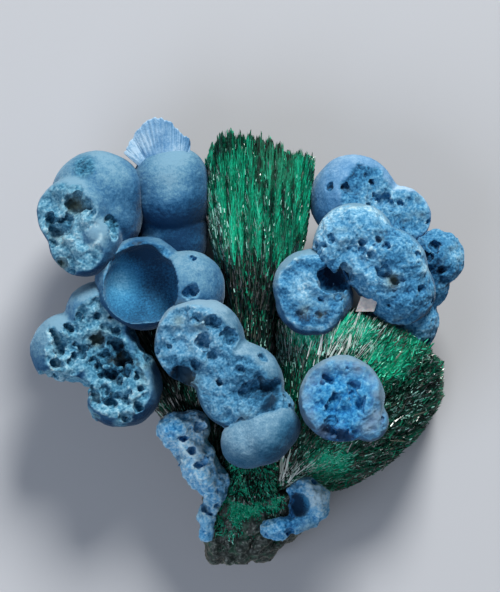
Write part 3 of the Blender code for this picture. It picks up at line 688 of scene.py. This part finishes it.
# The small dark tints on the scar sit on its pits: painted shade.
growth(
    "upper_left_ball", LEFT,
    [lobe(UPPER_LEFT_BALL, melt=12), lobe(UPPER_LEFT_SCAR, [SCAR_BREAK]), lobe(SCAR_CORE)], SCAR_PITS,
    chance=10, look=TEAL, crumble=0.8,
    tints_and_painted_light=[(-11.3, 14.0, 1.6, -0.18), (-16.4, 17.6, 1.3, -0.3), (-17.8, 11.5, 3.2, 0.22),
           (-14.8, 10.7, 1.2, 0.7), (-18.2, 11.9, 0.8, -0.4), (-19.7, 12.3, 0.6, -0.4),
           (-13.5, 11.6, 0.7, -0.5), (-17.3, 13.7, 0.8, -0.4)],
    stains=[(-17.3, 13.8, 0.9, 0.5), (-18.6, 7.8, 0.6, 0.55), (-18.8, 10.4, 0.8, 0.25)],
    worn=[(-16.4, 17.6, 1.2, 1.3)])
# The dark tint above the bowl is painted shade in the gap below the crowned ball.
growth(
    "bowl_balls", LEFT, [lobe(BOWL_BALL, [BOWL_BREAK]), lobe(BOWL_NEIGHBOUR)], BOWL_PITS, [bowl_hollow()],
    crumble=0.6, tints_and_painted_light=BOWL_PAINTED_LIGHT_AND_SHADE + [(-10.4, 10.3, 2.2, -0.45), (-4.8, 7.4, 2.0, 0.06)],
    stains=[(-6.6, 3.6, 0.6, 0.4)])
growth(
    "broken_left_ball", LEFT, [lobe(BROKEN_LEFT, BROKEN_LEFT_BREAKS)], BROKEN_LEFT_PITS,
    [bowl_hollow(0.4)], chance=34, look=TEAL,
    tints_and_painted_light=[(-13.0, -2.0, 2.2, -0.46), (-9.6, -4.5, 1.6, 0.2), (-14.5, -6.3, 1.5, 0.1),
           (-18.5, -3.6, 1.8, 0.15), (-14.5, 3.5, 2.0, 0.1), (-20.8, -0.5, 2.0, 0.2)],
    stains=[(-15.2, 0.35, 0.7, 0.6), (-9.1, 0.8, 0.7, 0.6), (-13.6, 3.0, 0.9, 0.2)],
    worn=[(-10.4, 0.8, 1.5, 1.0), (-10.4, -1.6, 1.3, 1.0), (-13.5, 4.3, 1.2, 0.8),
          (-12.8, -8.0, 0.9, 0.8)])
# Painted shade darkens the big hole at the lower left, the recess under the lower ball's lip and the pits
# at the top; a painted highlight lightens the hole's lip below.
growth(
    "middle_balls", LEFT, [lobe(MIDDLE_BALLS, [MIDDLE_BREAK]), lobe(ROUGH_BRIDGE, rough=ALL_OVER)],
    MIDDLE_PITS, chance=14, look=GREY, crumble=0.7, deep=1.1, lumpy=0.3,
    tints_and_painted_light=[(-4.5, 3.6, 2.0, 0.05), (1.2, -2.0, 2.2, 0.02), (1.8, -4.9, 1.6, -0.6),
           (-6.6, -4.9, 0.6, 0.9), (-6.6, -3.4, 1.1, -1.8), (-0.6, -2.6, 2.6, -0.14),
           (-5.0, 0.6, 2.6, 0.16), (-3.4, 1.9, 0.8, -0.3), (-1.8, 0.5, 0.9, -0.3),
           (-5.2, 2.5, 0.6, -0.3)],
    stains=[(-6.9, 2.2, 0.6, 0.4), (-5.4, -3.8, 1.0, 0.2)])
# Painted light lifts the smooth ball's lower part, and painted shade darkens its right end.
growth(
    "smooth_ball", LEFT, [lobe(SMOOTH_BALL, melt=8)], look=GREY,
    tints_and_painted_light=[(0.3, -11.0, 2.6, 0.3), (4.3, -8.4, 1.5, -0.45), (3.6, -10.8, 1.5, -0.1),
           (1.0, -8.0, 1.5, -0.1)],
    worn=[(-2.0, -7.6, 0.9, 1.0), (-0.6, -6.9, 0.9, 1.0), (1.0, -6.4, 0.9, 1.0), (2.6, -6.0, 0.9, 1.0)])
growth(
    "high_right_ball", RIGHT, [lobe(HIGH_RIGHT_BALL, [HIGH_RIGHT_BREAK])], HIGH_RIGHT_PITS, chance=12,
    look=FRESH, crumble=0.8, deep=0.9,
    tints_and_painted_light=[(13.2, 14.5, 2.0, 0.14), (14.8, 11.2, 1.6, -0.25), (8.3, 14.4, 2.9, -0.2),
           (11.2, 18.3, 2.4, -0.38), (8.2, 17.6, 1.8, -0.15)])
# Painted shade darkens the big pit, and the ring of tints paints a pale rim round the upper ball: a painted
# highlight.
growth(
    "broken_right_ball", RIGHT, [lobe(BROKEN_RIGHT, [BROKEN_RIGHT_BREAK], rough=0.3)], BROKEN_RIGHT_PITS,
    chance=26, crumble=0.9, deep=1.2,
    tints_and_painted_light=[(9.5, 11.0, 2.8, 0.1), (12.6, 8.2, 2.4, 0.12), (16.0, 4.0, 3.2, -0.2), (8.7, 6.6, 1.1, -0.6),
           (14.6, 8.4, 0.9, -0.3), (13.5, 10.6, 1.0, -0.25), (17.4, 9.2, 0.7, 0.35),
           (17.8, 7.4, 0.7, 0.35)]
        + ring(10.7, 9.75, 3.9, 0.6, 0.35, 40, 170, 8),
    stains=[(14.3, 6.1, 0.8, 0.5), (9.8, 7.2, 0.6, 0.3)])
# Painted shade darkens the big pit; the two rings paint a darker band inside the rim and a pale rim, the
# pale rim a painted highlight.
growth(
    "round_slice", RIGHT, [lobe(ROUND_SLICE, [ROUND_SLICE_BREAK], rough=0.52)], ROUND_SLICE_PITS,
    chance=4, crumble=0.35, deep=0.9,
    tints_and_painted_light=[(6.5, 5.0, 3.4, -0.22), (5.6, 5.4, 1.8, 0.56), (8.6, 6.7, 1.3, -1.0), (5.6, 2.3, 0.7, -0.3)]
        + ring(6.4, 5.1, 2.9, 0.7, -0.16, 60, 300)
        + ring(6.4, 5.1, 3.8, 0.5, 0.4, 60, 300, 14),
    stains=[(5.6, 3.2, 0.6, 0.4), (7.2, 2.8, 0.5, 0.3)])
# The right-edge balls are painted darker for the shade that the broken right ball casts on them: painted
# shade.
growth(
    "right_edge_balls", RIGHT, [lobe(RIGHT_EDGE, rough=ALL_OVER), lobe(BEHIND_RIGHT, rough=ALL_OVER)],
    RIGHT_EDGE_PITS, chance=14, crumble=0.8,
    tints_and_painted_light=[(18.3, 7.5, 3.0, -0.44), (20.8, 8.6, 0.9, 0.4), (16.0, 2.0, 3.0, -0.1)])
# The two strong dark tints sit in the holes at the bottom: painted shade.
growth(
    "round_broken_ball", "shattuckite_round_ball", [lobe(ROUND_BALL, [ROUND_BALL_BREAK], rough=0.45)],
    ROUND_BALL_PITS, chance=5, look=RINGED, crumble=0.8, deep=0.8, lumpy=0.8,
    tints_and_painted_light=[(9.4, -6.0, 2.6, -0.16), (7.7, -9.1, 0.8, -1.2), (9.5, -9.4, 0.8, -1.2)],
    stains=ring(9.3, -5.6, 3.7, 0.8, 0.5, -50, 235, 11) + [(12.6, -8.0, 1.2, 0.45)])
growth(
    "crust", "shattuckite_lower_crust", [lobe(LOWER_CRUST, melt=4, rough=ALL_OVER)], CRUST_PITS,
    chance=14, look=SPECKLED, crumble=1.1,
    tints_and_painted_light=[(-5.6, -10.0, 4.0, 0.42), (-4.3, -16.0, 4.0, 0.16), (-7.4, -8.6, 1.0, -0.3)],
    stains=[(-4.6, -17.0, 0.8, 0.5), (-6.9, -11.8, 0.6, 0.4)])
# The dark tint sits in the open hole: painted shade.
growth(
    "broken_shell", "shattuckite_broken_shell", [lobe(BROKEN_SHELL, melt=3, rough=ALL_OVER)], [],
    [grow_together([ball(SHELL_HOLLOW)], HOLLOW_GRID)], chance=8, look=SPECKLED, crumble=1.1,
    tints_and_painted_light=[(6.9, -15.6, 1.6, 0.7), (4.9, -16.4, 1.2, -0.7), (2.6, -18.6, 1.2, 0.15),
           (3.8, -18.3, 1.0, -0.25)],
    stains=[(6.0, -18.9, 0.9, 0.6)])


# ---- malachite needles

TIP, SLANT = 0.3, 0.15  # the radius of a needle's tip, and how far its slant rises


def one_needle():
    """A three-sided needle, one unit long and one wide, with a slanted tip."""
    bpy.ops.mesh.primitive_cone_add(vertices=3, radius1=0.5, radius2=TIP, depth=1.0, location=(0, 0, 0.5))
    needle = settle()
    shape = places(needle.data)
    shape[:, 2] += np.where(shape[:, 2] > 0.5, SLANT * shape[:, 0] / TIP, 0.0)
    faces = [tuple(face.vertices) for face in needle.data.polygons]
    bpy.data.objects.remove(needle)
    return shape, faces


NEEDLE_POINTS, NEEDLE_FACES = one_needle()
NEAR_TRIES = 8  # places tried for each needle of a patch
TIP_RAGGED = 0.3  # how unevenly the tips of a fan end
BRIGHTEST = 0.9  # the highest tone of a needle that isn't a painted glint
PAINTED_GLINT_LENGTH = 0.15, 0.6  # a glint is a painted highlight: a short pale needle that lies over the others
SUNK = 0.12  # how deep a needle's root is sunk, or a painted glint's stands out
END_ON = 0.55  # a needle steeper to its face than this stands on it
UNLIT = 0.1  # faces that point up less than this carry no painted glints
STEEP = 0.6  # a wall's normal points up or down less than this


def sample(node, count, random, weight):
    """Points spread over a CAD node's faces by area and weight, and the faces' normals."""
    mesh = node.data
    corners = places(mesh)
    mesh.calc_loop_triangles()
    a, b, c = (corners[part] for part in read(mesh.loop_triangles, "vertices", 3).T)
    normal = np.cross(b - a, c - a)
    area = np.linalg.norm(normal, axis=1)
    normal /= np.maximum(area, 1e-12)[:, None]
    share = area * weight(normal)
    chosen = random.choice(len(share), count, p=share / share.sum())
    u, v = random.random_sample((2, count))
    fold = u + v > 1
    u, v = np.where(fold, 1 - u, u), np.where(fold, 1 - v, v)
    a, b, c = a[chosen], b[chosen], c[chosen]
    return (a + (b - a) * u[:, None] + (c - a) * v[:, None]) / MM, normal[chosen]


def mostly_up(normal):
    return 0.1 + 1.6 * np.clip(normal[:, 2], 0, 1)


def steep(normal):
    return np.where(np.abs(normal[:, 2]) < STEEP, 1.0, 0.0)


def unit(vectors):
    return vectors / np.maximum(np.linalg.norm(vectors, axis=1), 1e-9)[:, None]


def needles(name, node, count, along, tone, seed, length=(0.8, 2.6), width=(0.07, 0.18), wild=0.03,
            lift=0.22, painted_glints=0.03, limit=None, near=None, walls=False, look=None):
    """A coat of needles over a CAD node, as one piece.

    along gives their direction, and wild how loosely they keep it. tone gives their tone, greyness and
    how often they carry painted glints, short pale needles that stand for highlights. limit gives how far
    each lies past the fan's tips. near keeps them to soft patches, and walls to steep faces.
    """
    random = np.random.RandomState(seed)
    tried = count * NEAR_TRIES if near else count
    at, normal = sample(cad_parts[node], tried, random, steep if walls else mostly_up)
    if near:
        share = spots(at, near)
        kept = random.choice(tried, count, replace=False, p=share / share.sum())
        at, normal = at[kept], normal[kept]
    loose = wild(at)[:, None] if callable(wild) else wild
    way = unit(along(at) + loose * random.normal(size=(count, 3)))
    facing = (way * normal).sum(1)
    end = facing > END_ON
    hidden = normal[:, 2] < UNLIT
    long = random.uniform(*length, count) * (0.6 + 0.8 * random.random_sample(count))
    wide = random.uniform(*width, count)
    shade, grey, painted_glint_weight = tone(at, normal, random)
    painted_glint = (random.random_sample(count) < painted_glints * painted_glint_weight) & ~hidden
    long = np.where(painted_glint, random.uniform(*PAINTED_GLINT_LENGTH, count), long)
    out = np.where(end, random.uniform(-0.2, 0.3, count), long * 0.5)
    rise = random.random_sample(count) ** 2 * lift + 0.1 * painted_glint - facing * long * 0.5
    tip = at + way * out[:, None] + np.where(end, 0.0, np.clip(rise, -0.1, lift))[:, None] * normal
    sunk = np.where(end, 0.0, np.where(painted_glint, -SUNK, SUNK))
    base = at + way * (out - long)[:, None] - sunk[:, None] * normal
    if limit:
        past = np.maximum(limit(tip) + TIP_RAGGED * random.random_sample(count), 0.0)[:, None]
        tip, base = tip - way * past, base - way * past
    axis = tip - base
    side = unit(np.cross(axis, normal + 0.5 * random.normal(size=(count, 3))))
    thick = unit(np.cross(side, axis))
    points = (base[:, None, :] + axis[:, None, :] * NEEDLE_POINTS[None, :, 2:3]
              + side[:, None, :] * (NEEDLE_POINTS[None, :, 0:1] * wide[:, None, None])
              + thick[:, None, :] * (NEEDLE_POINTS[None, :, 1:2] * wide[:, None, None]))
    points = inside_box(points.reshape(-1, 3) * MM)
    size = len(NEEDLE_POINTS)
    faces = [tuple(corner + size * number for corner in face)
             for number in range(count) for face in NEEDLE_FACES]
    mesh = bpy.data.meshes.new(name)
    mesh.from_pydata(points.tolist(), [], faces)
    mesh.update()
    mark(mesh, "tone", np.repeat(np.where(painted_glint, 1.0, np.clip(shade, 0, BRIGHTEST)), size))
    mark(mesh, "grey", np.repeat(np.where(painted_glint, 0.0, grey), size))
    mesh.materials.append(look or NEEDLES)
    piece = bpy.data.objects.new(name, mesh)
    SCENE.collection.objects.link(piece)
    name_piece(piece, name, "malachite")


def patch(at, size, seed):
    """A smooth value from -0.5 to 0.5 over the needles' places."""
    aside = Vector((seed, 0, 0))
    return np.array([0.5 * noise.noise(Vector(spot) / size + aside) for spot in at])


def smooth_step(low, high, value):
    share = np.clip((value - low) / (high - low), 0, 1)
    return share * share * (3 - 2 * share)


TALL_BRIGHT = 5.5, 11.0  # the heights between which the tall fan turns bright
TALL_DIM = 17.0, 20.0  # its tips dim again between these
TALL_STEM = -7.0, -9.5  # and its stem turns plain between these
TALL_BRIGHTEST = 0.74


def tall_tone(at, normal, random):
    """Bright green in the upper half, in columns along the fibres, and black-green at the stem."""
    x, y = at[:, 0], at[:, 1]
    bright = smooth_step(*TALL_BRIGHT, y + 2.0 * patch(at * (1, 0.2, 1), 0.8, 1.0))
    column = patch(at * (1, 0.1, 0.2), 0.4, 3.0)
    tone = (-0.02 + 0.56 * bright * (1 - 0.36 * smooth_step(*TALL_DIM, y)) + 0.8 * column
            + 0.5 * patch(at * (1, 0.45, 1), 0.8, 6.0) + 0.1 * random.normal(size=len(x)))
    top_right = smooth_step(0.0, 1.5, x) * smooth_step(14.0, 16.0, y) * smooth_step(5.5, 3.5, x)
    root = smooth_step(*TALL_STEM, y)
    grey = 0.2 * top_right + (random.random_sample(len(x)) < 0.15 * (1 - bright) * (1 - root)) * 0.7
    # The rows where painted glints gather on the tall fan.
    left_row = np.exp(-((x + 2.9) / 0.8) ** 2) * smooth_step(4.0, 6.0, y) * smooth_step(15.0, 12.0, y)
    low_row = np.exp(-((x - 0.6) / 1.6) ** 2) * smooth_step(4.0, 1.0, y) * (1 - root)
    return np.minimum(tone, TALL_BRIGHTEST), grey, 0.1 + 4.5 * left_row + 2.0 * low_row + 0.25 * bright


# Patches where the side fan is brighter or darker: x, y, radius, strength. Mostly its own emerald; the low
# one at (8.4, -12.2) is also painted light that lifts it out of the round ball's shade.
SIDE_BRIGHT = [
    (6.0, 1.2, 1.6, 0.9), (9.6, 1.4, 1.3, 0.8), (14.2, -1.7, 1.7, 0.95), (8.4, -12.2, 1.8, 0.9),
    (11.8, 0.5, 0.8, 0.5), (12.5, 0.5, 2.0, 0.15), (17.8, 0.0, 1.5, 0.2), (4.3, -10.8, 1.4, -0.4),
    (16.5, -5.0, 3.0, -0.08)]
# Where painted glints gather on the side fan: x, y, radius, strength.
SIDE_PAINTED_GLINTS = [
    (10.5, 0.2, 2.6, 0.9), (3.2, -1.0, 1.6, 2.5), (13.0, 1.5, 2.0, 0.9), (5.5, -12.5, 2.2, 2.5),
    (15.8, -6.0, 2.2, 2.0)]
# Where the near-white blades lie, which are painted highlights: x, y, radius, strength.
BLADES = [
    (8.2, -0.2, 1.2, 1.0), (11.2, 0.6, 1.4, 1.1), (12.6, 1.6, 1.4, 0.3), (4.6, 0.3, 1.0, 0.6),
    (3.0, -1.2, 1.0, 0.3), (6.2, -13.0, 1.2, 0.3)]
LONG_BLADES = [
    (4.2, -10.0, 0.6, 1.0), (4.4, -12.0, 0.7, 0.9), (3.4, -13.6, 0.5, 0.4), (8.6, 0.6, 0.8, 0.25)]
TUFTS = [
    (6.0, 1.3, 1.1, 1.0), (9.4, 1.5, 0.9, 0.8), (14.1, -1.4, 1.0, 1.0), (14.6, -2.6, 0.8, 0.8),
    (8.4, -12.1, 1.2, 1.1), (11.8, 0.5, 0.6, 0.8), (10.9, 2.4, 0.6, 0.3), (17.6, 0.3, 0.7, 0.3)]
MATS = [(-1.3, -17.2, 1.3, 1.0), (0.5, -17.3, 1.0, 0.8), (0.3, -15.8, 1.1, 0.7), (2.2, -15.9, 0.9, 0.6)]
HIGH_MATS = [
    (0.8, -14.2, 1.6, 1.0), (-0.6, -13.2, 1.0, 0.7), (-1.3, -9.5, 0.8, 0.3), (2.3, -15.2, 0.8, 0.5)]


def side_tone(at, normal, random):
    tone = (0.3 + spots(at, SIDE_BRIGHT) + 0.55 * patch(at, 1.0, 9.0) + 0.4 * patch(at, 0.4, 2.0)
            + 0.1 * random.normal(size=len(at)))
    return np.minimum(tone, 0.8), (random.random_sample(len(at)) < 0.1) * 0.8, 0.3 + spots(at, SIDE_PAINTED_GLINTS)


def foot_tone(at, normal, random):
    tone = 0.21 + 0.6 * patch(at, 1.2, 5.0) + 0.12 * random.normal(size=len(at))
    return tone, (random.random_sample(len(at)) < 0.15) * 0.8, 0.6


def wall_tone(at, normal, random):
    """Dark where the walls of a fan stand low, greener higher up."""
    tone = (0.22 + 0.02 * at[:, 2] + 0.5 * patch(at, 1.0, 8.0) + 0.5 * patch(at, 0.35, 2.0)
            + 0.14 * random.normal(size=len(at)))
    return tone, (random.random_sample(len(at)) < 0.12) * 0.8, 0.0


# Pale bright emerald for the mats and tufts: partly their own green, partly painted light that lifts them
# out of the shade of the balls above.
def mat_tone(at, normal, random):
    return 0.88 + 0.8 * patch(at, 0.5, 4.0) + 0.1 * random.normal(size=len(at)), 0.0, 0.0


# Tones of the near-white blades, painted highlights.
def painted_glint_tone(at, normal, random):
    return random.uniform(0.1, 0.78, len(at)), 0.0, 0.0


def from_root(x, y):
    """A direction away from the root of a fan."""
    def along(at):
        return unit((at - (x, y, 0.0)) * (1, 1, 0))
    return along


def downwards(at):
    return unit(at * (0.05, 0, 0) + (0, -1, 0))


TALL_ROOT = (0.6, -38.0)
TALL_TOP = [
    (-4.1, 18.6), (-3.4, 19.8), (-3.0, 20.7), (-2.3, 21.1), (-0.9, 20.7), (0.2, 20.85), (1.7, 20.3),
    (3.2, 19.95), (5.2, 19.3), (6.5, 18.5)]
SIDE_ROOT = (3.0, -15.2)
SIDE_REACH = [
    (2, 5.4), (7, 7.5), (13, 10.0), (19, 12.9), (25, 16.1), (32, 19.0), (40, 20.6), (50, 20.5),
    (65, 19.4), (75, 18.6), (90, 17.0)]
LEFT_ROOT = (-2.2, -16.6)
LEFT_REACH = [(92, 19.4), (96, 22.4), (100, 25.4), (104, 28.9), (112, 29.5), (118, 25.5), (126, 22.0)]


RAGGED = 0.35
WALL_SHORT = 0.8  # how much lower than its top the tall fan's walls end


def ragged(values):
    """How far an uneven edge wanders, in millimetres."""
    return RAGGED * np.array([noise.noise(Vector((value, 0.0, 3.0))) for value in values])


def past_tall(at):
    """How far points lie above the tall fan's top edge."""
    x, top = np.array(TALL_TOP).T
    return at[:, 1] - np.interp(at[:, 0], x, top) + ragged(at[:, 0] * 1.3)


def past_tall_walls(at):
    return past_tall(at) - WALL_SHORT


def past_reach(root, table, slack=0.35):
    """A limit for a fan whose reach from its root changes with the angle."""
    turns, reach = np.array(table).T

    def limit(at):
        x, y = at[:, 0] - root[0], at[:, 1] - root[1]
        turn = np.degrees(np.arctan2(y, x))
        return np.hypot(x, y) - np.interp(turn, turns, reach) - slack + ragged(turn * 0.3)
    return limit


def root_tangle(at):
    """The tall fan's fibres are straight, and tangled only down at their root."""
    return 0.012 + 0.5 * smooth_step(-8.0, -10.5, at[:, 1])


def tangled(at):
    """The fibres lie straight near the top and tangled at the lower right."""
    return 0.06 + 0.25 * smooth_step(11.0, 16.0, at[:, 0] - 0.6 * at[:, 1])


TALL, SIDE, BACK = "malachite_tall_spray", "malachite_side_spray", "malachite_left_spray"
FOOT = "malachite_foot"
TALL_WAY, SIDE_WAY, BACK_WAY = (from_root(*root) for root in (TALL_ROOT, SIDE_ROOT, LEFT_ROOT))

needles(
    "malachite_tall_needles", TALL, 24000, TALL_WAY, tall_tone, 11, width=(0.06, 0.16), wild=root_tangle,
    limit=past_tall)
needles(
    "malachite_side_needles", SIDE, 24000, SIDE_WAY, side_tone, 12, length=(0.6, 2.0), wild=tangled,
    painted_glints=0.06, limit=past_reach(SIDE_ROOT, SIDE_REACH))
needles(
    "malachite_left_needles", BACK, 12000, BACK_WAY, foot_tone, 13,
    limit=past_reach(LEFT_ROOT, LEFT_REACH))
needles(
    "malachite_foot_needles", FOOT, 6000, downwards, foot_tone, 14, length=(0.2, 0.8),
    width=(0.06, 0.16), wild=0.8, near=[(0.0, -16.5, 3.2, 1.0), (3.0, -17.5, 2.5, 0.6)])
needles(
    "malachite_foot_mats", FOOT, 8000, downwards, mat_tone, 15, length=(0.2, 0.7), width=(0.08, 0.18),
    wild=0.7, lift=0.4, near=MATS)
needles(
    "malachite_high_mats", TALL, 10000, downwards, mat_tone, 16, length=(0.3, 0.9), width=(0.09, 0.2),
    wild=0.6, lift=0.5, near=HIGH_MATS)
needles(
    "malachite_tufts", SIDE, 6500, SIDE_WAY, mat_tone, 19, length=(0.4, 1.2), width=(0.06, 0.13),
    wild=0.15, lift=0.4, near=TUFTS)
needles(
    "malachite_painted_glint_blades", SIDE, 420, SIDE_WAY, painted_glint_tone, 17, length=(0.8, 2.4), width=(0.05, 0.11),
    wild=0.06, lift=0.5, near=BLADES, look=PAINTED_GLINT_NEEDLES)
needles(
    "malachite_long_painted_glint_blades", SIDE, 100, SIDE_WAY, painted_glint_tone, 18, length=(1.6, 3.4), width=(0.14, 0.32),
    wild=0.05, lift=0.6, near=LONG_BLADES, look=PAINTED_GLINT_NEEDLES)
for name, node, count, way, seed, wild, limit in (
        ("malachite_tall_walls", TALL, 8000, TALL_WAY, 21, 0.03, past_tall_walls),
        ("malachite_side_walls", SIDE, 11000, SIDE_WAY, 22, 0.1, past_reach(SIDE_ROOT, SIDE_REACH, 1.2)),
        ("malachite_left_walls", BACK, 9000, BACK_WAY, 23, 0.06, past_reach(LEFT_ROOT, LEFT_REACH, 1.2))):
    needles(name, node, count, way, wall_tone, seed, length=(0.5, 1.6), width=(0.12, 0.26), wild=wild,
            walls=True, limit=limit)


MATRIX = (0.3, "#07100e"), (0.45, "#1b2a25"), (0.56, "#2e3936"), (0.68, "#5d6862"), (0.85, "#aeb1a7")
MATRIX_GRID, MATRIX_MELT, MATRIX_PASSES = 0.16, 24, 10
WELD = 0.001


def foot_stone():
    """Massive malachite matrix at the foot: a grainy grey-green lump with a tan rim."""
    stone = copy_of(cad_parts[FOOT])
    select(stone)
    bpy.ops.object.mode_set(mode="EDIT")
    bpy.ops.mesh.select_all(action="SELECT")
    bpy.ops.mesh.remove_doubles(threshold=WELD * MM)
    bpy.ops.object.mode_set(mode="OBJECT")
    modify(voxels(stone, MATRIX_GRID), "SMOOTH", factor=0.5, iterations=MATRIX_MELT)
    for pattern, height, mid in ((SWELLS, 1.1, 0.3), (CRUMBS, 0.4, 0.5), (GRAINS, 0.15, 0.5)):
        emboss(stone, pattern, height, mid)
    move_points(stone.data, inside_box(places(stone.data)))
    mark(stone.data, "hollow", hollows(stone, MATRIX_PASSES))
    made, tree, shader = material("malachite_matrix", Roughness=0.55)
    hollow = add(tree, "Attribute", out="Fac", attribute_name="hollow")
    # The matrix is painted darker in its hollows: painted shade.
    level = total(tree, 0.0, (grain(tree, 0.3, 3.0), 1.0), (hollow, -1.2))
    colour = add(tree, "ValToRGB", (level,), stops=MATRIX)
    green = {"Value": grain(tree, 0.9), "From Min": 0.52, "From Max": 0.645, "To Max": 0.6}
    facing = add(tree, "SeparateXYZ", (add(tree, "TexCoord", out="Normal"),), out="Z")
    rim = {"Value": facing, "From Min": 0.45, "From Max": -0.05, "To Max": 0.75}
    for share, over in ((green, "#14553f"), (rim, "#8f8675")):
        share = add(tree, "MapRange", share)
        colour = add(tree, "Mix", {0: share, 6: colour, 7: over}, out=2, data_type="RGBA")
    tree.links.new(colour, shader.inputs["Base Color"])
    dress(stone, made)
    name_piece(stone, "matrix_foot", "malachite", FOOT)


foot_stone()


def massive_malachite():
    """Massive malachite between the needles: dark, dull, banded along the fibres."""
    made, tree, shader = material("malachite_massive", Roughness=0.6)
    bands = grain(tree, 0.5, 3.0, stretch=(1, 5, 1))
    stops = (0.3, "#010806"), (0.6, "#05261c"), (0.8, "#0b4a38")
    colour = add(tree, "ValToRGB", (bands,), stops=stops)
    tree.links.new(colour, shader.inputs["Base Color"])
    return made


def calcite():
    """Calcite, a cloudy cleavage rhomb: pinkish white, a little light passes through."""
    made, tree, shader = material("calcite_rhomb", Roughness=0.35, IOR=1.6, Subsurface_Weight=0.3,
                                  Subsurface_Scale=0.5 * MM)
    stops = (0.3, "#a5a2a6"), (0.55, "#d3cac6"), (0.75, "#e8dfd6")
    colour = add(tree, "ValToRGB", (grain(tree, 0.6, 3.0),), stops=stops)
    tree.links.new(colour, shader.inputs["Base Color"])
    return made


CORE = massive_malachite()
for node, look in ((TALL, CORE), (SIDE, CORE), (BACK, CORE), ("pale_crystal", calcite())):
    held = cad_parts[node].data.materials
    held.clear()
    held.append(look)


# ---- floor, light and camera

FLOOR_SIZE, FLOOR_BELOW = 1.2, 0.01 * MM
bpy.ops.mesh.primitive_plane_add(size=FLOOR_SIZE, location=(0, 0, CAD_BOX[0][2] - FLOOR_BELOW))
floor = settle()
floor.name = "floor"
# Matt paper: pale, even and without shine.
paper = material("paper_backdrop", Base_Color=linear("#b9bcc2"), Roughness=0.9)[0]
floor.data.materials.append(paper)


def area_light(name, place, size, power, colour):
    light = bpy.data.lights.new(name, "AREA")
    light.shape = "DISK"
    light.size = size
    light.energy = power
    light.color = linear(colour)[:3]
    lamp = bpy.data.objects.new(name, light)
    lamp.location = place
    lamp.rotation_euler = (-Vector(place)).to_track_quat("-Z", "Y").to_euler()
    SCENE.collection.objects.link(lamp)


area_light("key", (0.15, 0.60, 0.46), 0.26, 8.0, "#fffdf8")
area_light("fill", (-0.32, -0.28, 0.42), 0.5, 1.6, "#e8f0ff")

world = bpy.data.worlds.new("studio")
SCENE.world = world
world.use_nodes = True
sky = world.node_tree.nodes["Background"].inputs
sky["Color"].default_value = linear("#dfe6ee")
sky["Strength"].default_value = 0.18
SCENE.view_settings.view_transform = "Standard"

VIEW_CENTRE = 0.2, 4.65  # where the middle of the picture meets the specimen
VIEW_HEIGHT = 59.2  # what the picture's height covers at the depth of the balls
BALLS_Z, CAMERA_ABOVE = 12.5, 480.0
lens = bpy.data.cameras.new("camera")
lens.sensor_fit = "VERTICAL"
lens.sensor_height = 36.0
lens.lens = lens.sensor_height * CAMERA_ABOVE / VIEW_HEIGHT
camera = bpy.data.objects.new("camera", lens)
camera.location = [at * MM for at in (*VIEW_CENTRE, BALLS_Z + CAMERA_ABOVE)]
SCENE.collection.objects.link(camera)
SCENE.camera = camera
